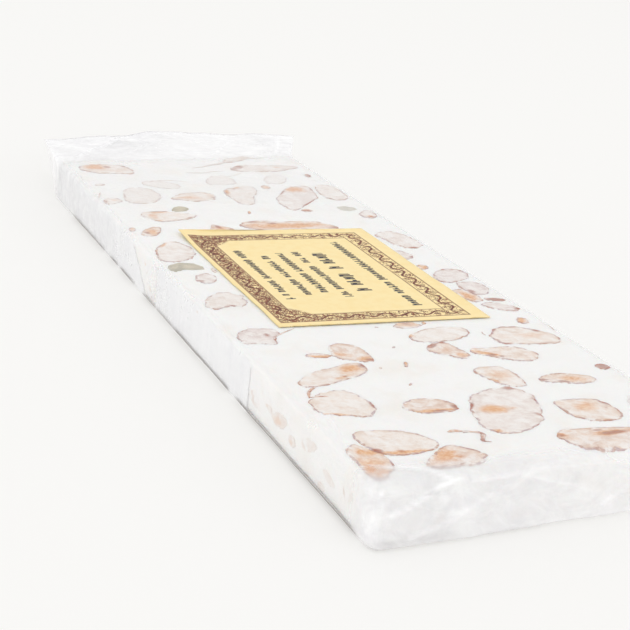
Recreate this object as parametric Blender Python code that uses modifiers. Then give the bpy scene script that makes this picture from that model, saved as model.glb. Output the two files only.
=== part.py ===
"""Nougat slice: a flat sawn slab of white nougat with nuts in section, wafer on its long sides, a paper
label on top, and the two ends of the clear film that it is wrapped in.

Written for Blender 4.5, in metres with +Z up. X runs across the slab, Y along it, and the drawing's zero is
the middle of the label, level with the surface the slab lies on. At the end everything hangs on one empty,
which moves the zero to the bottom centre of the whole thing.
"""

import math

import bmesh
import bpy
from mathutils import Matrix, Vector

MM = 0.001
GAP = 0.3 * MM  # what pieces that touch in life keep between them
OVERCUT = 5 * MM  # how far a cutter runs past what it cuts

# The slab. It was cut a little askew, so each end runs along Y by END_SKEW for each metre across.
WIDTH = 60.0 * MM
THICK = 9.2 * MM
FAR_END = 93.0 * MM
NEAR_END_LOW = -87.4 * MM
NEAR_END_TOP = -85.6 * MM
END_SKEW = 0.09
EDGE_ROUND = 0.8 * MM

# The wafer, which the block was set in, is left on the two long sides. On the left it is in two sheets.
WAFER = 0.5 * MM
FAR_SHEET_TOP = 28.0 * MM  # where the far sheet's torn edge meets the top face
FAR_SHEET_LOW = 15.5 * MM  # and where it meets the bottom
NEAR_SHEET_START = 9.5 * MM
NEAR_SHEET_STOP = -42.0 * MM

# The label lies on the top face.
LABEL_WIDTH = 40.4 * MM
LABEL_LENGTH = 57.4 * MM
LABEL_THICK = 0.2 * MM

# The film. Past the far end its tube is pressed flat, level with the top face. At the near end it is
# folded up.
FLAP_LENGTH = 24.0 * MM
FLAP_BULGE = 6.5 * MM  # how much further the flap's middle reaches than its corners
FLAP_SPREAD = 4.0 * MM  # how much wider the flap is than the slab, to each side
FLAP_DRIFT = 6.4 * MM  # how far the flap's outer edge has slid to the right
FLAP_THICK = 0.8 * MM
FOLD_LOW = 2.0 * MM  # how far the folded near end stands out at the bottom
FOLD_TOP = 0.7 * MM  # and at the top
FOLD_DROP = 0.4 * MM  # how far the fold's upper edge lies under the top face
FOLD_INSET = 1.2 * MM  # how far it draws in at each corner

# The nuts. Each is half an egg that lies flush with the top face, where the saw went through it.
NUT_RINGS = 8
NUT_SINK = 0.2  # how far the egg's widest ring lies under the sawn face, as a share of its depth
DEEPEST_NUT = 4.4 * MM
WIDTH_DIRECTIONS = 12  # how many ways across a nut are measured for its width

# Every nut that shows, as the corners of its outline in mm on the top face. They are traced by eye from the
# photograph, and go from the far end to the near one.
ALMONDS = [
    [(-27.3, 81.5), (-27, 84), (-24.5, 86.2), (-22, 86.8), (-19.5, 86), (-16, 85), (-15, 81.5),
     (-15.3, 78), (-16.5, 77), (-19, 77.6), (-21.5, 77.8), (-23.5, 77.8), (-25.5, 79.2)],
    [(8.8, 80.2), (10, 83), (12.5, 85), (15, 85.3), (18, 84.8), (22, 84.8), (25.5, 84.5), (27.8, 83.2),
     (25.5, 81.6), (23, 80.3), (20, 78.8), (17, 78.6), (13, 79.2), (10.5, 79.2)],
    [(-1.2, 67.5), (-0.3, 71.5), (2.3, 75), (5, 75.3), (6, 74), (6.6, 71), (6, 67.6), (3, 66.4),
     (0.5, 66.4)],
    [(13.3, 67.6), (13.8, 71), (16, 74.7), (19, 75.6), (20.3, 73), (19, 69.3), (16.5, 67)],
    [(-8.2, 67.2), (-9.2, 68.7), (-10.8, 70.2), (-13, 71), (-14.8, 70.6), (-16.5, 69.3), (-15.9, 67.2),
     (-14.9, 65.8), (-12.8, 64.2), (-10.8, 63.4), (-9.2, 63.5), (-8.2, 65.3)],
    [(22.8, 54.5), (24, 52.5), (26, 52), (27.8, 53.3), (28.8, 56), (29, 61), (28.6, 65), (26.5, 66.2),
     (24.4, 65), (23.2, 61.5), (22.7, 58)],
    [(10.3, 45), (10, 50), (10.5, 54), (11.5, 55.4), (13, 58), (15, 61), (16.5, 63.3), (18.5, 65),
     (20.6, 65.4), (22, 64.4), (22.4, 62), (22, 59.5), (21.5, 56.5), (20.8, 54.3), (19, 52.2), (17, 50),
     (14.5, 47.2), (12.5, 45), (11.3, 43.8)],
    [(0.1, 58), (0.6, 61.5), (2, 63), (3.7, 63.8), (5.3, 65), (7.3, 65.3), (8.8, 64.3), (8.8, 61.3),
     (7.3, 58), (5.6, 55), (4.8, 51.5), (3.4, 48.8), (1.7, 48.8), (0.6, 52), (0.3, 55)],
    [(-13.8, 54.8), (-12.3, 57), (-10.4, 59.2), (-7, 60.2), (-4.3, 60.4), (-2.9, 59), (-2.9, 56.6),
     (-4, 54), (-5.7, 53.2), (-8.7, 52.6), (-11, 53.6)],
    [(-24, 54), (-23.4, 58), (-22.4, 62), (-20.5, 64.8), (-17.5, 65), (-15.6, 62.6), (-14.8, 59),
     (-15.8, 55), (-18, 52.4), (-21, 51.2), (-23.4, 51.8)],
    [(-29.4, 51.9), (-28.6, 55), (-27, 56.5), (-25.2, 55.9), (-24.7, 53.6), (-26, 52.3), (-28, 51)],
    [(-23.2, 44.6), (-20.5, 45.1), (-17.5, 44.9), (-15.4, 44), (-13.4, 43), (-12, 41.5), (-13.2, 39.5),
     (-15.5, 38.4), (-19, 37.4), (-21.2, 37), (-22.8, 39.2), (-24, 42)],
    [(24.8, 40.5), (26.5, 42.6), (28.4, 44), (29, 40.5), (28.2, 38), (26.5, 36.8), (25, 38)],
    [(-5.4, 33.8), (-3.4, 36), (0, 36.8), (4, 35.6), (9, 35.8), (13, 35.2), (14.8, 33), (15.8, 31),
     (15, 29.3), (11.5, 29.2), (7, 28.9), (1, 28.6), (-2.4, 29.8), (-4.6, 31.8)],
    [(-12.5, 31.2), (-11.2, 34.4), (-9.4, 33.6), (-8, 31.8), (-6.8, 29.4), (-9, 28.6), (-11.4, 29)],
    [(-28, 28.4), (-26.5, 31.4), (-24, 33.6), (-22.4, 33), (-23.2, 30.2), (-24.8, 27.4), (-26.8, 26.6)],
    [(21.4, 24.3), (22.8, 26.4), (26.3, 26.9), (28.2, 24.3), (29, 19.7), (28.8, 16.4), (26.8, 14.4),
     (24.3, 14.4), (22.6, 17.4), (22.2, 20.5)],
    [(-29.3, 11), (-28.9, 14), (-28.3, 17.2), (-26.7, 20.4), (-24.3, 23), (-22.2, 22.6), (-20.6, 19.5),
     (-20.8, 15), (-22.5, 11.6), (-25, 10), (-27.5, 9.5)],
    [(20, 14), (22.1, 12.8), (23.3, 10), (22.5, 7.6), (20.5, 7), (19.4, 10)],
    [(-26.2, -1.6), (-25.4, 1), (-23, 2.4), (-21.6, 0.5), (-22.2, -2), (-23.6, -3.8), (-25.3, -3.6)],
    [(24, -0.2), (26.3, 0.4), (28.7, -0.6), (29.1, -3), (27.8, -6), (25.4, -7.2), (23, -8.2), (21, -7.7),
     (20.6, -5), (22, -2.2)],
    [(23, -10.3), (24, -8.2), (27, -7.7), (28.8, -9.7), (28.6, -13), (27, -15.4), (24.6, -16.2),
     (23.4, -13.4)],
    [(20.6, -12.6), (22.6, -12), (23.6, -14), (24.4, -17), (24.2, -19), (22.2, -19.7), (20.4, -17.5)],
    [(-29.1, -16.3), (-27.9, -18.2), (-26.2, -17.2), (-24.3, -16.6), (-22.3, -17), (-20.8, -15),
     (-20.8, -11.5), (-22.3, -9.3), (-24.5, -9), (-27, -11.2), (-28.6, -14)],
    [(22.2, -21.3), (24, -20), (26, -20.4), (28.2, -22.6), (28.9, -24.5), (27.5, -25.6), (25.4, -25),
     (23.4, -23.6)],
    [(0.2, -30.4), (1.6, -28.8), (4.6, -28.8), (6, -30.3), (4.4, -31.6), (1.6, -31.7)],
    [(-29, -32.5), (-28.8, -35.4), (-26.2, -35.5), (-23.4, -36.5), (-22.4, -33.2), (-20.8, -31.2),
     (-21.3, -29), (-25, -28), (-27.9, -29.8)],
    [(0.1, -36.9), (0.9, -35.3), (2.6, -34.1), (5.1, -32.6), (8, -31.9), (10.1, -31.9), (11.9, -32.3),
     (13.1, -33.6), (12.7, -35.3), (11.3, -36.9), (9.3, -38), (7.4, -38.8), (4.3, -39), (1.8, -38.4),
     (0.3, -37.6)],
    [(15.3, -37.1), (16.7, -35.7), (18, -34), (20.1, -33.1), (22.6, -33.4), (24.7, -34.6), (26.4, -36.3),
     (27.7, -38), (28, -39.7), (27.3, -41.5), (25.9, -42.6), (24.5, -42.4), (22.6, -42.4), (20.1, -42.1),
     (18, -41.7), (16.3, -41.8), (15.5, -40.2), (15.2, -38.6)],
    [(1, -41.9), (1.8, -40.6), (3.4, -39.4), (5.3, -39), (6.3, -39.9), (6.6, -41.5), (7, -43.2),
     (7.5, -44.6), (7.1, -46.2), (5.9, -47.2), (4.7, -46.6), (3.9, -45.5), (2.5, -44.6), (1.4, -43.4)],
    [(8.5, -42.6), (10.4, -42.9), (12.6, -42.8), (16, -42.6), (18.3, -43.8), (19.4, -45.7), (19.5, -47.2),
     (18.4, -49), (16.8, -49.7), (14.3, -49.4), (12.3, -48.2), (10.7, -46.8), (9.3, -45.7), (8.3, -44.4)],
    [(-14.3, -37.4), (-12.7, -37.2), (-10.8, -38.2), (-10, -39.8), (-9.9, -41.5), (-9.8, -43.6),
     (-9.8, -45), (-10.6, -46.2), (-11.9, -46), (-13.5, -45.2), (-15.4, -44.3), (-16.2, -42.4),
     (-15.9, -40.3), (-15.3, -38.5)],
    [(-14.3, -46), (-13.1, -46.6), (-12.6, -48.5), (-13.3, -50.2), (-15.6, -51.8), (-18.1, -52.9),
     (-20.4, -53.8), (-22.6, -54.8), (-24.6, -55.2), (-26.2, -54.6), (-26.4, -53), (-25.2, -51.4),
     (-23.6, -50), (-22, -48.9), (-20.4, -48.2), (-18.5, -47.7), (-16.4, -46.8), (-15.2, -46)],
    [(4.2, -52.3), (5.1, -51.4), (7.2, -51), (9.7, -51.3), (10.6, -52.8), (10.8, -55.7), (10.7, -58.2),
     (10.1, -59.8), (8.8, -60), (7.2, -59.6), (5.9, -58.4), (4.9, -55.8), (4.3, -54)],
    [(13, -57.8), (14.5, -56.6), (16.8, -55.7), (18.9, -55.7), (21.3, -56.6), (23.1, -57.7),
     (23.6, -58.9), (22.3, -60.1), (20.1, -60.6), (18, -60.2), (15.9, -59.3), (14.1, -58.8)],
    [(-18.3, -62), (-18.4, -65), (-19.8, -67.2), (-22, -67.2), (-23.8, -66.5), (-27.2, -65.4),
     (-28, -63.4), (-27.5, -60.6), (-26.2, -58.6), (-23.9, -57.4), (-21.8, -56.7), (-20.3, -57.2),
     (-19, -58.8)],
    [(-14.4, -64.7), (-13.1, -63.1), (-11, -62.1), (-8.9, -62.2), (-7.2, -62.8), (-5.9, -64.1),
     (-5.4, -65.4), (-5.8, -67), (-7, -67.8), (-9.3, -67.8), (-11.4, -67.8), (-12.7, -67.2),
     (-13.7, -66)],
    [(-4.2, -67.5), (-3.1, -65.2), (-1.8, -63.3), (-0.2, -61.5), (2.2, -60.2), (4.3, -59.7), (6.2, -59.8),
     (7.6, -61), (8.3, -62.9), (8.7, -65), (8.3, -67.1), (7.2, -69.6), (6, -71.7), (4.9, -73.5),
     (3, -75.2), (0.7, -76.6), (-1.5, -77.3), (-3.5, -76.9), (-4.9, -75), (-5.1, -72.5), (-4.8, -70)],
    [(28.3, -68.8), (28.2, -65.9), (26.6, -65.7), (24.3, -66.8), (23, -68.8), (23.8, -71.4), (25.2, -72),
     (27.5, -70.8)],
    [(10.6, -66.7), (10.3, -69.6), (10.6, -72.3), (12, -74.1), (13.8, -75.1), (15.9, -75.4), (18, -75),
     (19.2, -73.3), (19.6, -71.3), (19.4, -69), (18.6, -67.4), (16.6, -66.5), (14.7, -66.2),
     (12.6, -66.3)],
    [(-26.4, -74.8), (-26, -73.2), (-25.1, -72.4), (-23.1, -72.2), (-20.6, -72.5), (-18.4, -73.2),
     (-16.5, -74.5), (-15.2, -76.3), (-14.7, -77.9), (-15, -79.2), (-16.8, -80.3), (-18.9, -80.9),
     (-21, -81.2), (-23.1, -80.9), (-24.8, -79.9), (-25.8, -77.5)],
    [(-31, -80), (-29, -77.6), (-27, -76.2), (-25.8, -78), (-24.6, -80), (-24.2, -81.7), (-24.3, -83.8),
     (-25, -85.2), (-26.4, -86.8), (-27.9, -87.4), (-29.3, -86.9), (-30.7, -86), (-31.2, -83)],
    [(-15.2, -79.6), (-13, -79), (-11.7, -80.2), (-10.1, -82), (-9.6, -83.3), (-11, -84.9),
     (-13.1, -85.7), (-15, -85.5), (-17, -86), (-18.9, -85.8), (-20, -84.5), (-18.8, -82.9),
     (-16.9, -81.3)],
    [(4, -79.8), (4.7, -78), (6.3, -77), (8.8, -77.2), (11.3, -77.2), (14.7, -77.6), (17.5, -78),
     (19.6, -79.2), (20, -81), (18, -82.8), (15, -83.6), (11.8, -84.1), (8.8, -84.2), (6.3, -83.6),
     (4.8, -82)],
    [(28.3, -78.8), (27.5, -76.5), (26.5, -75), (24.7, -74.9), (23.4, -76), (22.9, -78.8), (23.7, -81.1),
     (24.8, -82.3), (26.5, -82.9), (27.8, -81.6)],
]
PISTACHIOS = [
    [(-16.5, 45.3), (-15.2, 48), (-13.8, 48.9), (-12.4, 48.1), (-12.1, 46.5), (-13.4, 45), (-15, 44.6)],
    [(22.1, 46.5), (24, 47.1), (26.1, 45.8), (26.1, 44.2), (24, 43.1), (22.1, 43.9)],
    [(-29.4, 5.3), (-28.6, 7.6), (-26, 9.2), (-23.5, 8.4), (-22.1, 6), (-22.7, 4.4), (-24.5, 4.6),
     (-26.5, 4.7), (-28.5, 3.7)],
]

PHOTO_COLOURS = {
    "nougat": (246, 244, 240),
    "wafer": (238, 238, 237),
    "label": (250, 226, 160),
    "film": (240, 240, 240),
    "almond": (226, 190, 160),
    "pistachio": (150, 148, 120),
}
ROUGHNESS = {"nougat": 0.6, "wafer": 0.7, "label": 0.55, "film": 0.15, "almond": 0.5, "pistachio": 0.5}


def clear_scene():
    """Removes what the startup file holds."""
    for thing in list(bpy.data.objects):
        bpy.data.objects.remove(thing, do_unlink=True)


def new_collection(name):
    made = bpy.data.collections.new(name)
    bpy.context.scene.collection.children.link(made)
    return made


def linear(level):
    """Turns one 0 to 255 level of the photograph into the linear value that Blender's colours hold."""
    share = level / 255
    return share / 12.92 if share <= 0.04045 else ((share + 0.055) / 1.055) ** 2.4


def new_material(name):
    """A plain Principled material in the colour that the photograph shows."""
    material = bpy.data.materials.new(name)
    material.use_nodes = True
    shader = material.node_tree.nodes["Principled BSDF"]
    shader.inputs["Base Color"].default_value = (*(linear(level) for level in PHOTO_COLOURS[name]), 1)
    shader.inputs["Roughness"].default_value = ROUGHNESS[name]
    shader.inputs["Metallic"].default_value = 0
    return material


def add_object(name, shape, collection, material=None):
    """Makes an object of a bmesh, with its faces turned outward, and puts it in a collection."""
    bmesh.ops.recalc_face_normals(shape, faces=shape.faces)
    mesh = bpy.data.meshes.new(name)
    shape.to_mesh(mesh)
    shape.free()
    if material:
        mesh.materials.append(material)
    made = bpy.data.objects.new(name, mesh)
    collection.objects.link(made)
    return made


def end_line(middle, across):
    """Where a skewed end stands along Y, at a place across the slab."""
    return middle + END_SKEW * across


def block(x_min, x_max, y_near, y_far, z_min, z_max):
    """A cube stretched between six values. y_near and y_far are functions of (x, z), so an end may lean."""
    shape = bmesh.new()
    bmesh.ops.create_cube(shape, size=2)
    for vert in shape.verts:
        x = x_max if vert.co.x > 0 else x_min
        z = z_max if vert.co.z > 0 else z_min
        end = y_far if vert.co.y > 0 else y_near
        vert.co = Vector((x, end(x, z), z))
    return shape


def near_end(x, z):
    """The near end's place: it runs with the skew, and leans back toward the top."""
    return end_line(NEAR_END_LOW + (NEAR_END_TOP - NEAR_END_LOW) * z / THICK, x)


def far_end(x, _z):
    return end_line(FAR_END, x)


def far_sheet_edge(_x, z):
    """The torn edge of the left side's far sheet, which slants from bottom to top."""
    return FAR_SHEET_LOW + (FAR_SHEET_TOP - FAR_SHEET_LOW) * z / THICK


def at(place):
    """An end that stands square, at one place along Y."""
    return lambda _x, _z: place


def middle_of(corners):
    """The middle of an outline's area, as the mean over its triangles from the zero."""
    doubled = 0.0
    middle = Vector((0, 0))
    for here, following in zip(corners, corners[1:] + corners[:1]):
        cross = here[0] * following[1] - following[0] * here[1]
        doubled += cross
        middle += (Vector(here) + Vector(following)) * cross
    return middle / (3 * doubled)


def nut_of(corners):
    """A nut as its middle and its spokes, in metres.

    A spoke leads from the middle to a corner of the outline. They go round from +X by way of +Y.
    """
    middle = middle_of(corners)
    spokes = [(Vector(corner) - middle) * MM for corner in corners]
    spokes.sort(key=lambda spoke: math.atan2(spoke.y, spoke.x))
    return middle * MM, spokes


def nut_depth(spokes):
    """Wider nuts reach deeper, and none comes out at the bottom."""
    widths = []
    for index in range(WIDTH_DIRECTIONS):
        angle = math.pi * index / WIDTH_DIRECTIONS
        along = [spoke.dot(Vector((math.cos(angle), math.sin(angle)))) for spoke in spokes]
        widths.append(max(along) - min(along))
    return min(min(widths) / 2 * 0.8 + 1.0 * MM, DEEPEST_NUT)


def nut_shape(nut, grow=0.0):
    """A sphere with a column of points for each corner of the outline, moved out along that corner's spoke."""
    middle, spokes = nut
    deep = nut_depth(spokes)
    shape = bmesh.new()
    bmesh.ops.create_uvsphere(shape, u_segments=len(spokes), v_segments=NUT_RINGS, radius=1)
    first_angle = math.pi / 2  # where a sphere made here has its first column
    for vert in shape.verts:
        turns = (math.atan2(vert.co.y, vert.co.x) - first_angle) / (2 * math.pi)
        spoke = spokes[round(turns * len(spokes)) % len(spokes)]
        out = spoke * (1 + grow / spoke.length) * vert.co.xy.length
        vert.co = Vector((out.x, out.y, vert.co.z * (deep + grow)))
    bmesh.ops.translate(shape, vec=(middle.x, middle.y, THICK - NUT_SINK * deep), verts=shape.verts)
    return shape


def trim(shape, point, outward):
    """Cuts off what lies past a plane and closes the cut with one face."""
    everything = shape.verts[:] + shape.edges[:] + shape.faces[:]
    cut = bmesh.ops.bisect_plane(shape, geom=everything, plane_co=point, plane_no=outward, clear_outer=True)
    edges = [part for part in cut["geom_cut"] if isinstance(part, bmesh.types.BMEdge)]
    if edges:
        bmesh.ops.edgeloop_fill(shape, edges=edges)


def side_plane(middle):
    """How far from the middle line the nougat ends beside a nut: further where no wafer covers its side."""
    bare = middle.x < 0 and middle.y < NEAR_SHEET_STOP
    return WIDTH / 2 if bare else WIDTH / 2 - WAFER - GAP


def cut_with(target, cutter):
    """Subtracts a cutter from an object."""
    modifier = target.modifiers.new(cutter.name, "BOOLEAN")
    modifier.operation = "DIFFERENCE"
    modifier.solver = "EXACT"
    modifier.object = cutter


def build_nuts(name, outlines, material, parts, cutters, placed):
    """One solid for each nut, cut back where it would meet one already placed, and its pocket's cutter."""
    for number, corners in enumerate(outlines, start=1):
        nut = nut_of(corners)
        middle, spokes = nut
        shape = nut_shape(nut)
        trim(shape, (0, 0, THICK), (0, 0, 1))
        for side in (-1, 1):
            trim(shape, (side * side_plane(middle), 0, 0), (side, 0, 0))
        made = add_object(f"{name}_{number:02d}", shape, parts, material)
        pocket = add_object(f"pocket_{name}_{number:02d}", nut_shape(nut, GAP), cutters)
        radius = max(spoke.length for spoke in spokes)
        for other_middle, other_radius, other_pocket in placed:
            if (middle - other_middle).length < radius + other_radius + GAP:
                cut_with(made, other_pocket)
        placed.append((middle, radius, pocket))


def build_slab(parts, cutters, materials):
    """The nougat block, with a rebate for each wafer sheet, and the sheets in their rebates."""
    half = WIDTH / 2
    slab = add_object("nougat", block(-half, half, near_end, far_end, 0, THICK), parts, materials["nougat"])
    rounded = slab.modifiers.new("rounded edges", "BEVEL")
    rounded.width = EDGE_ROUND
    rounded.segments = 2
    # Each sheet: its side, where it starts and stops, and how far its rebate runs past both.
    sheets = {
        "wafer_left_far": (-1, far_sheet_edge, far_end, GAP, OVERCUT),
        "wafer_left_near": (-1, at(NEAR_SHEET_STOP), at(NEAR_SHEET_START), GAP, GAP),
        "wafer_right": (1, near_end, far_end, OVERCUT, OVERCUT),
    }
    for name, (side, start, stop, before, after) in sheets.items():
        thin = sorted((side * half, side * (half - WAFER)))
        add_object(name, block(*thin, start, stop, 0, THICK), parts, materials["wafer"])
        wide = sorted((side * (half + OVERCUT), side * (half - WAFER - GAP)))
        cutter = block(*wide, moved(start, -before), moved(stop, after), -OVERCUT, THICK + OVERCUT)
        cut_with(slab, add_object(f"rebate_{name}", cutter, cutters))
    return slab


def moved(end, by):
    """The same end, further along Y."""
    return lambda x, z: end(x, z) + by


def cut_pockets(slab, placed):
    for _middle, _radius, pocket in placed:
        cut_with(slab, pocket)


def build_label(parts, material):
    half_x, half_y = LABEL_WIDTH / 2, LABEL_LENGTH / 2
    low = THICK + GAP
    shape = block(-half_x, half_x, at(-half_y), at(half_y), low, low + LABEL_THICK)
    add_object("label", shape, parts, material)


def loft(rings):
    """A closed skin over rings of points, all of one length, with the first and last ring filled."""
    shape = bmesh.new()
    rows = [[shape.verts.new(point) for point in ring] for ring in rings]
    count = len(rows[0])
    for row, following in zip(rows, rows[1:]):
        for index in range(count):
            after = (index + 1) % count
            shape.faces.new((row[index], row[after], following[after], following[index]))
    shape.faces.new(rows[0])
    shape.faces.new(rows[-1])
    return shape


def film_ring(place, left, right, low, high, columns=6):
    """A flat tube's section: along its upper side from left to right, and back along its lower side.

    place is a function of the share from left to right, and gives Y. low and high are heights.
    """
    shares = [index / columns for index in range(columns + 1)]
    upper = [(left + (right - left) * share, place(share), high) for share in shares]
    lower = [(x, y, low) for x, y, _z in reversed(upper)]
    return upper + lower


def build_far_film(parts, material):
    """The film past the far end: as deep as the slab where it leaves it, and pressed flat further out."""
    half = WIDTH / 2
    steps = 4
    rings = []
    for index in range(steps + 1):
        share = index / steps
        spread = FLAP_SPREAD * share
        drift = FLAP_DRIFT * share
        left, right = -half + drift - spread, half + drift + spread
        flat_low = THICK - FLAP_THICK
        low = flat_low * math.sin(share * math.pi / 2)

        def place(across, share=share, left=left, right=right):
            bulge = FLAP_BULGE * share * math.sin(math.pi * across)
            x = left + (right - left) * across
            return far_end(x, 0) + GAP + FLAP_LENGTH * share + bulge

        rings.append(film_ring(place, left, right, low, THICK))
    add_object("film_far_end", loft(rings), parts, material)


def build_near_film(parts, material):
    """The film folded up against the near end: a shallow wedge that stands out furthest at the bottom."""
    half = WIDTH / 2
    back = [(x, near_end(x, z) - GAP, z) for x, z in ((-half, THICK), (half, THICK), (half, 0), (-half, 0))]
    high = THICK - FOLD_DROP
    front = [
        (-half + FOLD_INSET, near_end(-half, THICK) - GAP - FOLD_TOP, high),
        (half - FOLD_INSET, near_end(half, THICK) - GAP - FOLD_TOP, high),
        (half, near_end(half, 0) - GAP - FOLD_LOW, 0),
        (-half, near_end(-half, 0) - GAP - FOLD_LOW, 0),
    ]
    add_object("film_near_end", loft([back, front]), parts, material)


def stand_on_zero(parts, cutters):
    """Hangs every part and cutter on one empty, placed so that the bottom centre of the whole is the zero."""
    bpy.context.view_layer.update()
    graph = bpy.context.evaluated_depsgraph_get()
    corners = [Vector(corner) for part in parts.objects for corner in part.evaluated_get(graph).bound_box]
    low = [min(corner[axis] for corner in corners) for axis in range(3)]
    high = [max(corner[axis] for corner in corners) for axis in range(3)]
    zero = bpy.data.objects.new("zero", None)
    for thing in [*parts.objects, *cutters.objects]:
        thing.parent = zero
    parts.objects.link(zero)
    zero.location = (-(low[0] + high[0]) / 2, -(low[1] + high[1]) / 2, -low[2])
    bpy.context.view_layer.update()


def main():
    clear_scene()
    parts = new_collection("nougat_slice")
    cutters = new_collection("cutters")
    materials = {name: new_material(name) for name in PHOTO_COLOURS}
    slab = build_slab(parts, cutters, materials)
    placed = []
    build_nuts("almond", ALMONDS, materials["almond"], parts, cutters, placed)
    build_nuts("pistachio", PISTACHIOS, materials["pistachio"], parts, cutters, placed)
    cut_pockets(slab, placed)
    build_label(parts, materials["label"])
    build_far_film(parts, materials["film"])
    build_near_film(parts, materials["film"])
    for cutter in cutters.objects:
        cutter.hide_render = True
        cutter.display_type = "WIRE"
    stand_on_zero(parts, cutters)


main()
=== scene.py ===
# %% [markdown]
# # A nougat slice in clear film
# This lesson dresses a plain solid model of a wrapped slice of white nougat. The solids give every size
# and place. Here they get the look: sawn nougat with almonds and pistachios in section, wafer sheets on
# the long sides, a printed paper label, and a wrap of clear film. All the work is in metres, with Z up.

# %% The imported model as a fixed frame
import math

import bpy
import numpy as np
from mathutils import Matrix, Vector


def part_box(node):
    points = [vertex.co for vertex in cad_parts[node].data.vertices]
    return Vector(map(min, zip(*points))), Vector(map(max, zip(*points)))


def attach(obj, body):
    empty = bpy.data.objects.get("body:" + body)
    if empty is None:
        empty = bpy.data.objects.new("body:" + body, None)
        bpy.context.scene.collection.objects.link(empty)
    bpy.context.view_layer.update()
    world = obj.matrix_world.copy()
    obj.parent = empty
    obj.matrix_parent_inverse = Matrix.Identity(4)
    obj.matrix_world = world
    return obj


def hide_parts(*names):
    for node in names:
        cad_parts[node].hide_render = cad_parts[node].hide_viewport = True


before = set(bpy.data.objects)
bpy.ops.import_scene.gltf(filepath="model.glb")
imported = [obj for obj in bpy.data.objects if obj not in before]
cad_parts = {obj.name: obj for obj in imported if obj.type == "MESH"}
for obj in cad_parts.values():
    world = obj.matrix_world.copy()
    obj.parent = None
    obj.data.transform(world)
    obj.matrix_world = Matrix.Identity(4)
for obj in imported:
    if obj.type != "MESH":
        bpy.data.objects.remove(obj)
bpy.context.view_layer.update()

# %% [markdown]
# ## Measures
# Everything is placed from the middle of the label, which is how the photo was measured, in mm across and
# along. The slab's ends run a little askew, so the place of an end depends on where you are across the
# slab. The corners of the film's end solids, which touch the slab's ends, say where each end stands.

# %% Sizes read from the frame
MM = 0.001
GAP = 0.3 * MM
label_low, label_high = (np.array(corner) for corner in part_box("label"))
ZERO = (label_low + label_high) / 2 * (1, 1, 0)
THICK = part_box("nougat")[1].z
HALF = (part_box("wafer_right")[1].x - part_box("wafer_left_far")[0].x) / 2
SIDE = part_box("wafer_right")[1].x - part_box("wafer_right")[0].x + GAP


def points_of(node):
    """A node's points, as an array of rows of x, y and z."""
    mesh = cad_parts[node].data
    flat = np.empty(len(mesh.vertices) * 3)
    mesh.vertices.foreach_get("co", flat)
    return flat.reshape(-1, 3)


def corner(node, direction):
    """The node's point that lies furthest along a direction, once its box is stretched to a cube."""
    points = points_of(node)
    spread = np.ptp(points, axis=0)
    return points[np.argmax(((points - points.min(axis=0)) / spread) @ np.array(direction))]


def in_mm(points):
    """Rows of points as three arrays in mm: across and along from the label's middle, and up."""
    return ((points - ZERO) / MM).T


def between(first, second, share):
    """first at a share of 0, second at a share of 1, and a straight line from one to the other."""
    return first * (1 - share) + second * share


NEAR_CORNERS = {(x, z): corner("film_near_end", (x, 1.5, z)) for x in (-1, 1) for z in (-1, 1)}
FAR_CORNERS = {x: corner("film_far_end", (0.5 * x, -2, 0)) for x in (-1, 1)}


def near_end(x, z):
    """Y of the slab's near end: the four corners blended, first across and then up."""
    across = (x - ZERO[0]) / HALF / 2 + 0.5
    low = between(NEAR_CORNERS[-1, -1][1], NEAR_CORNERS[1, -1][1], across)
    high = between(NEAR_CORNERS[-1, 1][1], NEAR_CORNERS[1, 1][1], across)
    return between(low, high, z / THICK) + GAP


def far_end(x):
    """Y of the slab's far end: a straight line from the left corner to the right one."""
    across = (x - ZERO[0]) / HALF / 2 + 0.5
    return between(FAR_CORNERS[-1][1], FAR_CORNERS[1][1], across) - GAP


ends = [round(float(end - ZERO[1]) / MM, 1) for end in (near_end(ZERO[0], 0), far_end(ZERO[0]))]
print("slab: half width", round(HALF / MM, 2), "thick", round(THICK / MM, 2), "ends at", ends)

# %% [markdown]
# ## Smooth noise in numpy
# Food is uneven, so most shapes need a smooth random field. Value noise is the simplest one: a random
# number sits at every whole-number point of a lattice, and the points between blend their four neighbours
# with a smooth curve. Adding finer and fainter copies gives detail. It works on whole arrays at once, so
# it is fast.


# %% Value noise
COLUMN_FACTOR, ROW_FACTOR, SEED_FACTOR, MIX_FACTOR = 374761393, 668265263, 974634777, 1274126177
LOWEST_32_BITS = 2**32 - 1


def lattice(column, row, seed):
    """A random number from -1 to 1 for each whole-number point: the point's numbers are mixed bit by bit."""
    mixed = (column * COLUMN_FACTOR + row * ROW_FACTOR + seed * SEED_FACTOR) & LOWEST_32_BITS
    mixed = ((mixed ^ (mixed >> 13)) * MIX_FACTOR) & LOWEST_32_BITS
    return (mixed ^ (mixed >> 16)) / 2**31 - 1


def noise(u, v, size, seed, octaves=3, fade=0.5):
    """Blends four lattice numbers with 3t^2 - 2t^3. Each octave halves the size and fades the height."""
    total, height, reach = 0.0, 1.0, 0.0
    for octave in range(octaves):
        x, y = np.asarray(u) / size * 2**octave, np.asarray(v) / size * 2**octave
        column, row = np.floor(x).astype(np.int64), np.floor(y).astype(np.int64)
        a, b = x - column, y - row
        a, b = a * a * (3 - 2 * a), b * b * (3 - 2 * b)
        key = seed + 31 * octave
        low = between(lattice(column, row, key), lattice(column + 1, row, key), a)
        high = between(lattice(column, row + 1, key), lattice(column + 1, row + 1, key), a)
        total = total + height * between(low, high, b)
        reach += height
        height *= fade
    return total / reach


def step(value, low, high):
    """A smooth step: 0 below low, 1 above high, and 3t^2 - 2t^3 between them."""
    share = np.clip((value - low) / (high - low), 0, 1)
    return share * share * (3 - 2 * share)


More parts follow.
